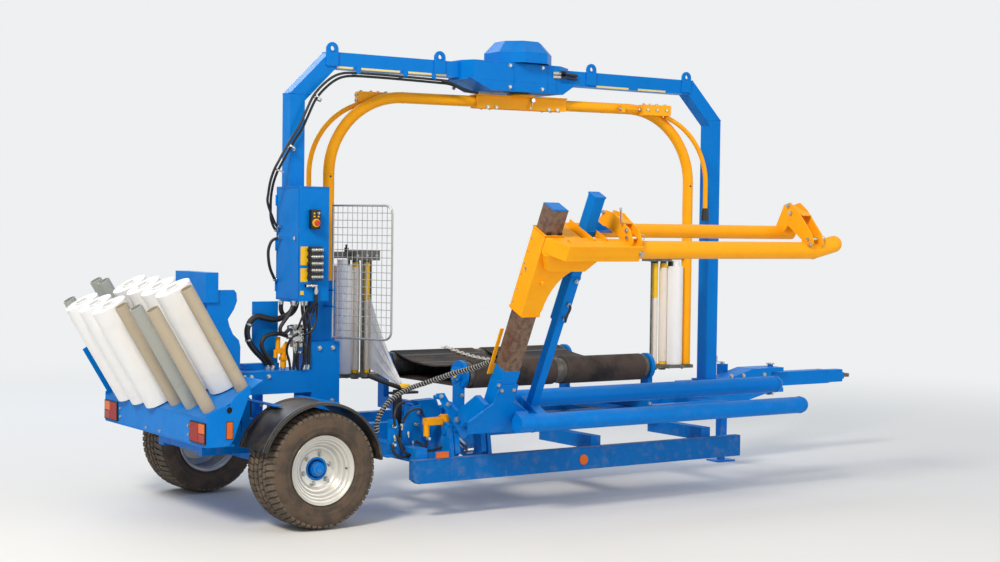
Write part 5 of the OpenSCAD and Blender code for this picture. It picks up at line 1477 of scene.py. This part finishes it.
@dataclass
class Loader:
    """Parts on the mast, its blue foot, the carriage and the clamp."""

    tube: float = 62.5
    sleeve: float = 76.5
    socket: Span = (168.0, 655.0)
    big_pipe: Span = (-150.0, 62.0)
    small_pipe: Span = (150.0, 49.5)

    def mast(self) -> None:
        """Cap the mast and add its rub strip."""
        t = self.tube
        cap = Piece("mast_cap", BLUE, "loader", LOADER)
        cap.block((-t - 1.5, t + 1.5), (-t - 1.5, t + 1.5), (1886, 1890))
        cap.block((-t + 6, t - 6), (-t + 6, t - 6), (1889, 1893)).done(bevel=2)
        strip = Piece("mast_strip", ORANGE, "loader", LOADER)
        strip.block((-t - 50, -t - 22), (t - 10, t - 1), (570, 930))
        strip.block((-t - 30, -t - 4.2), (t - 10, t - 1), (575, 650)).done(bevel=1.5)
        lug = Piece("mast_lug", BLUE, "loader", LOADER)
        lug.block((-t - 36, -t - 0.3), (-t - 2, -t + 10), (520, 585)).done(bevel=3)
        Copies.put("mast_lug_bolts", hex_bolt("bolt"), [((-t - 20, -t - 2.2, 550), (0, -1, 0), 0, 0.9)], "loader",
                   LOADER)

    def foot(self) -> None:
        """Weld beads, socket and bolts of the blue foot, with the bands and fittings on its arms."""
        y = -self.tube - 12.6
        weld = Piece("foot_welds", BLUE, "loader", LOADER)
        weld.sweep([(-250, y, 263), (-85, y, 406), (-75, y, 550)], 7)
        weld.sweep([(390, y, 260), (205, y, 337), (85, y, 406), (75, y, 550)], 7)
        weld.block((-74, 74), (y - 2.5, y + 0.4), (470, 492)).done()
        t = self.tube
        socket = Piece("mast_socket", BLUE, "loader", LOADER)
        for x, y_wall in (((-t - 4, t + 4), (-t - 4, -t - 0.1)), ((-t - 4, t + 4), (t + 0.1, t + 4)),
                          ((-t - 4, -t - 0.1), (-t - 0.1, t + 0.1)), ((t + 0.1, t + 4), (-t - 0.1, t + 0.1))):
            socket.block(x, y_wall, self.socket)
        socket.done(bevel=1)
        Copies.put("foot_bolts", hex_bolt("bolt"), [
            ((x, y + 0.2, z), (0, -1, 0), 0, 0.9) for x, z in ((-52, 512), (52, 512))], "loader", LOADER)
        pins = Piece("swing_pin_caps", ZINC, "loader", LOADER)
        for x0, x1 in ((-162, -152), (117, 127)):
            pins.rod((x0, 238, 0), (x1, 238, 0), 92, 32)
        pins.done(bevel=1.5)
        ends = Piece("fork_bands", BLUE, "loader", LOADER)
        for s in (-1, 1):
            for x in (222, 2830):
                ends.rod((x, s * 160, 281), (x + 12, s * 160, 281), 136, 40)
        ends.done(bevel=1.5)
        fit = Piece("post_fittings", STEEL, "clamp", CLAMP)
        for z in (-486, -596, -300):
            fit.rod((330, -22, z), (330, -46, z), 30, 6).rod((330, -44, z), (330, -58, z), 22, 16)
        fit.done()
        Hoses.run("post_hose", RUBBER, [(18, [(330, -54, -486), (322, -76, -500), (300, -86, -560), (312, -78, -590),
                                              (330, -56, -596)])], "clamp", CLAMP)

    def carriage(self) -> None:
        """Bolts, stops, guides and peg of the sliding carriage."""
        r = self.sleeve
        dots = [((-r - 0.2, 55, z), (-1, 0, 0), 0, 0.4) for z in (-21, -118, -207, -290, -400, -500)]
        dots += [((-r - 0.2, 26, -230), (-1, 0, 0), 0, 0.6), ((-r - 0.2, 20, -245), (-1, 0, 0), 0, 0.4)]
        Copies.put("carriage_bolts", hex_bolt("bolt"), dots, "clamp", CLAMP)
        part = Piece("carriage_trims", ORANGE, "clamp", CLAMP)
        part.rod((8, -r, -285), (8, -r - 30, -285), 26, 20)
        for z in (57, -551):
            part.block((-r - 5, r + 3), (-r - 5, -r + 0.2), (z, z + 10))
            part.block((-r - 5, -r + 0.2), (-r - 5, r + 5), (z, z + 10))
            part.block((-r - 5, r + 3), (r - 0.2, r + 5), (z, z + 10))
        part.done(bevel=2)
        shroud = Piece("clamp_shroud", ORANGE, "clamp", CLAMP)
        shroud.plate([(-78, -80), (36, -217), (668, -217), (668, -96), (77, -80)], (-60, 56), "xy")
        shroud.plate([(-60, -84), (-12, -182), (306, -182), (420, -70), (420, -58), (-74, -58)], (-128, -79))
        shroud.done(bevel=9)
        pads = Piece("carriage_pads", DARK, "clamp", CLAMP)
        for x, y in ((-60, -66), (30, -66)):
            pads.block((x, x + 34), (y - 3, y + 2), (62.5, 82))
        pads.done(bevel=1)
        weld = Piece("clamp_welds", ORANGE, "clamp", CLAMP)
        turn = Matrix.Rotation(math.pi / 2, 4, "Y")
        (y1, r1), (y2, r2) = self.big_pipe, self.small_pipe
        for x, y, pipe, high, half in ((78, y1, r1, 5, 5), (78, y2, r2, 4.5, 5), (2360, y1, r1, 3.5, 4)):
            weld.lathe([(pipe, -half), (pipe + high, 0), (pipe, half)], Matrix.Translation((x, y, 0)) @ turn, 40)
        weld.done()

    def brackets(self) -> None:
        """Pins, lever, rings and bolts on the clamp's cross brackets."""
        spots = [((662, -218.8, 4), (0, -1, 0), 0, 1.3)]
        for x, out, places, size in ((559.8, -1, ((-120, 130), (170, 130)), 1.0),
                                     (652.2, 1, ((-120, 130), (170, 130)), 1.0),
                                     (2269.8, -1, ((-190, 70), (150, 225)), 1.1),
                                     (2384.2, 1, ((-190, 70), (150, 225)), 1.1)):
            spots += [((x, y, z), (out, 0, 0), 7, size) for y, z in places]
        Copies.put("bracket_bolts", hex_bolt("bolt"), spots, "clamp", CLAMP)
        pins = Piece("bracket_pins", STEEL, "clamp", CLAMP)
        pins.rod((545, -150, 90), (668, -150, 90), 26, 20).rod((2252, 100, 190), (2402, 100, 190), 30, 20)
        pins.rod((2256, -150, 96), (2398, -150, 96), 26, 20)
        pins.rod((548, -60, 150), (500, -60, 262), 15, 12).rod((500, -60, 262), (497, -60, 270), 20, 12)
        for p in ((676, -150, 90), (2410, 100, 190), (2406, -150, 96)):
            pins.ring(p, (0.2, 1, 0.1), 26, 5, 28)
        pins.done()
        web = Piece("bracket_webs", ORANGE, "clamp", CLAMP)
        web.block((572, 640), (-60, 60), (150, 158)).block((2284, 2370), (-10, 150), (216, 224))
        web.done(bevel=2)
        tube = Piece("clamp_tube_trims", BLUE, "clamp", CLAMP)
        tube.block((284, 376), (-26, 66), (318, 332)).block((284, 376), (-26, 66), (-300, -280))
        tube.block((276, 520), (-26, 66), (66, 76)).plate([(374, 76), (500, 76), (374, 150)], (10, 30)).done(bevel=2)

    def build(self) -> None:
        """Make all parts of the loader."""
        self.mast()
        self.foot()
        self.carriage()
        self.brackets()


@dataclass
class Table:
    """Roller caps, chain, film cutter and belt seams of the table."""

    roller_y: float = 550.0
    roller_z: float = 950.0
    cap_circle: float = 44.0
    belt_top: float = 1055.5
    belt_sag: float = 75.0

    def build(self) -> None:
        """Make all parts of the table."""
        caps = Piece("roller_caps", BLUE)
        bolts = []
        for s in (-1, 1):
            y = s * self.roller_y
            for x, out in ((1400, -1), (3260, 1)):
                turn = (Matrix.Translation((x + out, y, self.roller_z))
                        @ Matrix.Rotation(out * math.pi / 2, 4, "Y"))
                caps.lathe([(21, -6), (58, -6), (58, 4), (44, 9), (21, 9)], turn, 36)
                for a in range(4):
                    t = math.radians(45 + 90 * a)
                    bolts.append(((x + out * 4, y + self.cap_circle * math.cos(t),
                                   self.roller_z + self.cap_circle * math.sin(t)), (out, 0, 0), 0, 0.6))
        caps.done(bevel=1)
        Copies.put("roller_cap_bolts", hex_bolt("bolt"), bolts)
        y, z = -self.roller_y, self.roller_z
        Piece("roller_disc", YELLOW).rod((1393, y, z), (1386, y, z), 46, 28).done(bevel=1)
        link = Piece("link", BAND)
        wire = [(10 + 3 * math.cos(math.radians(a)), 3 * math.sin(math.radians(a))) for a in range(0, 360, 60)]
        link.lathe(wire, Matrix.Rotation(math.pi / 2, 4, "X") @ Matrix.Diagonal((1.35, 2.2, 1.35, 1.0)), 14)
        path = smooth_path([(1985, 590, 1066), (2006, 560, 1066), (2030, 511, 1057), (2053, 395, 1031),
                            (2080, 289, 1012), (2098, 200, 1001), (2112, 90, 994), (2120, -40, 992)], 30)
        knife = Piece("film_cutter", DARK)
        knife.sweep([(560, -700, 990), (700, -704, 935), (884, -708, 872)], 34, 12)
        knife.block((770, 830), (-720, -690), (493, 880)).block((740, 960), (-735, -680), (848, 866)).done(bevel=2)
        Piece("cutter_cap", YELLOW).lathe([(1, 0), (30, 0), (30, 18), (24, 26), (1, 26)],
                                          Matrix.Translation((858, -706, 892))
                                          @ Matrix.Diagonal((1.5, 1.0, 1.0, 1.0)), 28).done()
        spots = [(tuple(p), tuple(b - a), 90.0 * (i % 2), 1.0)
                 for i, (a, p, b) in enumerate(zip(path, path[1:], path[2:]))]
        Copies.put("table_chain", link, spots)
        seam = Piece("belt_seams", RUBBER)
        for x0, x1 in ((1512, 2268), (2372, 3148)):
            for y in (-430, -150, 130, 410):
                top = self.belt_top - self.belt_sag * (1 - (y / self.roller_y) ** 2)
                slope = math.atan(2 * self.belt_sag * y / self.roller_y ** 2)
                seam.block((x0, x1), (y - 22, y + 22), (top - 1.5, top + 2.2), Matrix.Rotation(slope, 4, "X"))
        seam.done(bevel=0.6)
        spots = [((x, s * 595.2, z), (0, s, 0), 0, 0.9) for x in (1425, 3235) for s in (-1, 1) for z in (650, 800)]
        Copies.put("table_bolts", hex_bolt("bolt"), spots)


@dataclass
class Chassis:
    """Sill, valves beside the wheel, long hose, drawbar and jack."""

    sill_y: float = -1100.0
    hose_d: float = 34.0
    spiral_r: float = 18.2
    spiral_d: float = 3.8
    spiral_pitch: float = 21.0
    path_step: float = 6.0

    def sill(self) -> None:
        """Reflector, marker and edges of the side sill."""
        Piece("sill_reflector", AMBER).rod(
            (2185, self.sill_y - 0.1, 331), (2185, self.sill_y - 7, 331), 78, 40).done(bevel=2)
        Piece("sill_marker", AMBER).block((888, 992), (self.sill_y + 0.5, self.sill_y + 9), (424, 468)).done(bevel=4)
        Piece("sill_marker_foot", BLUE).block(
            (880, 1000), (self.sill_y + 9.5, self.sill_y + 14), (400, 474)).done(bevel=1)
        # The sill's edge strips take the same darker enamel: soil and painted shade
        rim = Piece("sill_edges", SILL_BLUE_SOIL_AND_SHADE)
        rim.block((705, 3758), (self.sill_y - 1.8, self.sill_y + 1), (412, 420.5))
        rim.block((1000, 1004), (self.sill_y - 1.4, self.sill_y + 1), (262, 412)).done(bevel=0.8)

    def valves(self) -> None:
        """Build the plates, valves and fittings between the wheel and the mast."""
        plates = Piece("valve_plates", BLUE)
        plates.plate([(609, 482), (688, 482), (700, 640), (680, 694), (609, 694)], (-900, -888))
        plates.plate([(790, 416), (939, 430), (939, 778), (850, 760), (790, 640)], (-806, -794))
        plates.plate([(914, 802), (1078, 809), (1123, 703), (1063, 654), (984, 688)], (-790, -700))
        plates.block((620, 960), (-880, -780), (422, 430)).done(bevel=2)
        valve = Piece("tilt_valve", ORANGE).block((905, 1035), (-950, -880), (640, 690))
        valve.rod((1078, -915, 600), (1078, -915, 708), 62, 28).rod((918, -915, 560), (918, -915, 662), 44, 24)
        valve.rod((1030, -915, 662), (1082, -915, 662), 52, 24).done(bevel=3)
        lever = Piece("lever_bar", BLUE)
        lever.plate([(890, 881), (958, 882), (1162, 574), (1119, 540)], (-1085, -1073)).done(bevel=2)
        pins = Piece("lever_bar_pin", BLUE)
        pins.rod((1100, -1074, 640), (1100, -1001, 640), 40, 20)
        pins.rod((930, -1074, 850), (930, -1001, 850), 30, 20).done()
        Copies.put("lever_bolts", hex_bolt("bolt"), [((1062, -1085.2, 690), (0, -1, 0), 0, 1.3),
                                                     ((985, -1085.2, 800), (0, -1, 0), 0, 1.1),
                                                     ((930, -1085.2, 860), (0, -1, 0), 0, 1.0)])
        Piece("blank_oval", YELLOW).rod((1192, -1012.4, 739), (1192, -1010.5, 739), 60, 32).done()
        steel = Piece("valve_fittings", STEEL)
        chance = random.Random(11)
        for x, y, z in ((640, -906, 520), (660, -906, 585), (640, -906, 650), (820, -812, 470), (870, -812, 520),
                        (830, -812, 590), (880, -812, 640), (905, -812, 720), (1078, -915, 590), (918, -915, 548),
                        (700, -900, 560), (720, -900, 660)):
            axis = chance.choice(((0, -1, 0), (0, -1, 0), (0, 0, -1)))
            a = Vector((x, y, z))
            v = Vector(axis)
            steel.rod(tuple(a), tuple(a + v * 22), 28, 6).rod(tuple(a + v * 20), tuple(a + v * 44), 21, 16)
        steel.done()
        Hoses.run("valve_hoses", RUBBER, [
            (20, [(820, -856, 470), (824, -900, 462), (800, -930, 440), (720, -945, 430), (650, -940, 452),
                  (628, -930, 500), (640, -926, 520)]),
            (20, [(870, -856, 520), (880, -910, 500), (850, -950, 450), (770, -960, 440), (700, -950, 480),
                  (668, -946, 560), (660, -930, 585)]),
            (18, [(918, -915, 528), (915, -915, 490), (880, -900, 452), (800, -880, 446), (740, -872, 500),
                  (720, -880, 600), (700, -920, 640)]),
            (20, [(1078, -915, 568), (1075, -915, 520), (1040, -905, 470), (960, -890, 452), (890, -870, 470)]),
            (18, [(905, -856, 720), (890, -900, 740), (840, -920, 760), (780, -900, 740), (750, -880, 680),
                  (720, -900, 640)]),
            (18, [(640, -946, 650), (630, -950, 720), (660, -930, 780), (720, -880, 800), (800, -800, 790)])])

    def long_hose(self) -> None:
        """Lay the hose with the white spiral from the chassis to the mast.

        Its course is the photograph's in the picture. Its depth is a guess: an upright plane up to the hold, and
        from there outwards so that it meets the mast.
        """
        path = smooth_path([(548, -850, 600), (548, -850, 664), (584, -850, 748), (650, -850, 817), (741, -850, 870),
                            (842, -850, 909), (910, -912, 941), (976, -1004, 982), (1036, -1107, 1024),
                            (1087, -1200, 1054), (1133, -1288, 1087), (1163, -1362, 1118)], self.path_step)
        hose = Piece("long_hose", RUBBER, "").sweep([tuple(p) for p in path], self.hose_d, 16).done()
        spiral = []
        side = Vector((0, 1, 0))
        for i, p in enumerate(path):
            ahead = (path[min(i + 1, len(path) - 1)] - path[max(i - 1, 0)]).normalized()
            side = (side - ahead * side.dot(ahead)).normalized()
            up = ahead.cross(side)
            for k in range(3):
                t = 2 * math.pi * (i + k / 3) * self.path_step / self.spiral_pitch
                spiral.append(tuple(p + self.spiral_r * (math.cos(t) * side + math.sin(t) * up)))
        band = Piece("long_hose_spiral", BAND, "").sweep(spiral, self.spiral_d, 6).done()
        for piece in (hose, band):
            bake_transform(piece)

    def drawbar(self) -> None:
        """Pins, head and bolts of the drawbar, and the jack's crank."""
        pins = Piece("drawbar_pin", ZINC)
        pins.rod((5130, 0, 857), (5130, 0, 868), 74, 32).rod((5130, 0, 582), (5130, 0, 593), 74, 32).done(bevel=2)
        head = Piece("drawbar_head", BLUE, "drawbar")
        head.block((5780, 6008), (-46, 46), (668, 782)).rod((5990, -46, 700), (5990, 46, 700), 20, 16)
        head.done(bevel=6)
        spots = [((x, -110.2, z), (0, -1, 0), 0, 1.2) for x in (4560, 4700, 4950) for z in (660, 780)]
        Copies.put("drawbar_bolts", hex_bolt("bolt"), spots)
        jack = Piece("jack_parts", ZINC)
        jack.rod((4685, 146, 866), (4685, 146, 884), 40, 24).rod((4685, 146, 880), (4685, 226, 880), 14, 12)
        jack.rod((4685, 226, 872), (4685, 226, 930), 22, 16).done()

    def build(self) -> None:
        """Make all parts of the chassis."""
        self.sill()
        self.valves()
        self.long_hose()
        self.drawbar()


@dataclass
class Studio:
    """Floor, light and camera."""

    eye: Point = (-5335.0, -10886.0, 2039.0)
    yaw: float = 55.43
    pitch: float = 1.79
    roll: float = 0.744
    lens: float = 59.76
    floor_half: float = 150000.0
    floor_z: float = -2.0
    floor_shift: Point = (3.9, 0.0, 0.725)
    fade_m: Span = (3.0, 13.0)
    backdrop: str = "#EEF0F1"

    def camera(self) -> None:
        """Put the camera where the photograph was taken from."""
        yaw, pitch, roll = (math.radians(a) for a in (self.yaw, self.pitch, self.roll))
        look = Vector((math.cos(yaw) * math.cos(pitch), math.sin(yaw) * math.cos(pitch), -math.sin(pitch)))
        side = Vector((math.sin(yaw), -math.cos(yaw), 0.0))
        up = side.cross(look)
        right = math.cos(roll) * side + math.sin(roll) * up
        top = -math.sin(roll) * side + math.cos(roll) * up
        data = bpy.data.cameras.new("camera")
        data.lens = self.lens
        data.sensor_width = 36.0
        data.clip_end = 300.0
        cam = bpy.data.objects.new("camera", data)
        bpy.context.collection.objects.link(cam)
        turn = Matrix((right, top, -look)).transposed().to_4x4()
        cam.matrix_world = Matrix.Translation(MACHINE @ Vector(self.eye)) @ turn
        bpy.context.scene.camera = cam

    def lights(self) -> None:
        """Hang one warm soft lamp and two broad panels."""
        for name, power, size, color, at, to in (
            ("key", 1500.0, 3.0, "#FFF4E2", (-8500.0, -6500.0, 10500.0), (2200.0, 0.0, 1000.0)),
            ("fill", 340.0, 8.0, "#F6F6F6", (6500.0, -11000.0, 4500.0), (2200.0, 0.0, 1200.0)),
            ("back", 420.0, 6.0, "#EAF2FF", (1000.0, 9000.0, 8000.0), (2200.0, 0.0, 1200.0)),
        ):
            data = bpy.data.lights.new(name, "AREA")
            data.energy = power
            data.size = size
            data.color = srgb(color)[:3]
            lamp = bpy.data.objects.new(name, data)
            bpy.context.collection.objects.link(lamp)
            spot, goal = MACHINE @ Vector(at), MACHINE @ Vector(to)
            lamp.location = spot
            lamp.rotation_euler = (goal - spot).to_track_quat("-Z", "Y").to_euler()

    def world(self) -> None:
        """Set a plain bright surrounding that the camera and gloss see as the backdrop."""
        world = bpy.data.worlds.new("studio")
        bpy.context.scene.world = world
        world.use_nodes = True
        tree = world.node_tree
        tree.nodes.clear()
        path = add(tree, "ShaderNodeLightPath").outputs
        gloss = add(tree, "ShaderNodeMath", {0: path["Is Camera Ray"], 1: path["Is Glossy Ray"]}, operation="MAXIMUM")
        seen = add(tree, "ShaderNodeMath", {0: gloss.outputs[0], 1: path["Is Transmission Ray"]}, operation="MAXIMUM")
        lit = add(tree, "ShaderNodeBackground", {"Color": srgb("#E6EAF0"), "Strength": 0.62})
        pale = add(tree, "ShaderNodeBackground", {"Color": srgb(self.backdrop), "Strength": 1.0})
        mix = add(tree, "ShaderNodeMixShader", {0: seen.outputs[0], 1: lit.outputs[0], 2: pale.outputs[0]})
        add(tree, "ShaderNodeOutputWorld", {"Surface": mix.outputs[0]})

    def floor(self) -> None:
        """Lay a plain pale floor that fades into the backdrop away from the machine."""
        mesh = bpy.data.meshes.new("floor")
        w = self.floor_half
        mesh.from_pydata([MACHINE @ Vector((x, y, self.floor_z)) for x, y in ((-w, -w), (w, -w), (w, w), (-w, w))],
                         [], [(0, 1, 2, 3)])
        floor = bpy.data.objects.new("floor", mesh)
        bpy.context.collection.objects.link(floor)
        mat = bpy.data.materials.new("pale_floor")
        mat.use_nodes = True
        tree = mat.node_tree
        tree.nodes.clear()
        where = add(tree, "ShaderNodeTexCoord").outputs["Object"]
        flat = add(tree, "ShaderNodeVectorMath", {0: where, 1: self.floor_shift}, operation="ADD")
        far = add(tree, "ShaderNodeVectorMath", {0: flat.outputs[0]}, operation="LENGTH").outputs["Value"]
        fade = add(tree, "ShaderNodeMapRange", {"Value": far, "From Min": self.fade_m[0],
                                               "From Max": self.fade_m[1]},
                   interpolation_type="SMOOTHSTEP").outputs["Result"]
        path = add(tree, "ShaderNodeLightPath").outputs
        gloss = add(tree, "ShaderNodeMath", {0: path["Is Camera Ray"], 1: path["Is Glossy Ray"]}, operation="MAXIMUM")
        seen = add(tree, "ShaderNodeMath", {0: fade, 1: gloss.outputs[0]}, operation="MULTIPLY")
        matt = add(tree, "ShaderNodeBsdfDiffuse", {"Color": srgb("#E4E5E5")})
        glow = add(tree, "ShaderNodeEmission", {"Color": srgb(self.backdrop), "Strength": 1.0})
        mix = add(tree, "ShaderNodeMixShader", {0: seen.outputs[0], 1: matt.outputs[0], 2: glow.outputs[0]})
        add(tree, "ShaderNodeOutputMaterial", {"Surface": mix.outputs[0]})
        mesh.materials.append(mat)

    def build(self) -> None:
        """Set the camera, the floor and the light."""
        bpy.context.scene.view_settings.view_transform = "Standard"
        self.camera()
        self.world()
        self.lights()
        self.floor()


def main() -> None:
    """Dress the machine, add its parts in order and set the studio."""
    Studio().build()
    Frame().dress()
    for part in (Wheel(Side.RIGHT), Wheel(Side.LEFT), Fender(Side.RIGHT), Fender(Side.LEFT), Rack(), Arch(), Arm(),
                 Controls(), Guard(), Loader(), Table(), Chassis()):
        part.build()
        LOG.info("finished %s", type(part).__name__)


if __name__ == "__main__":
    main()
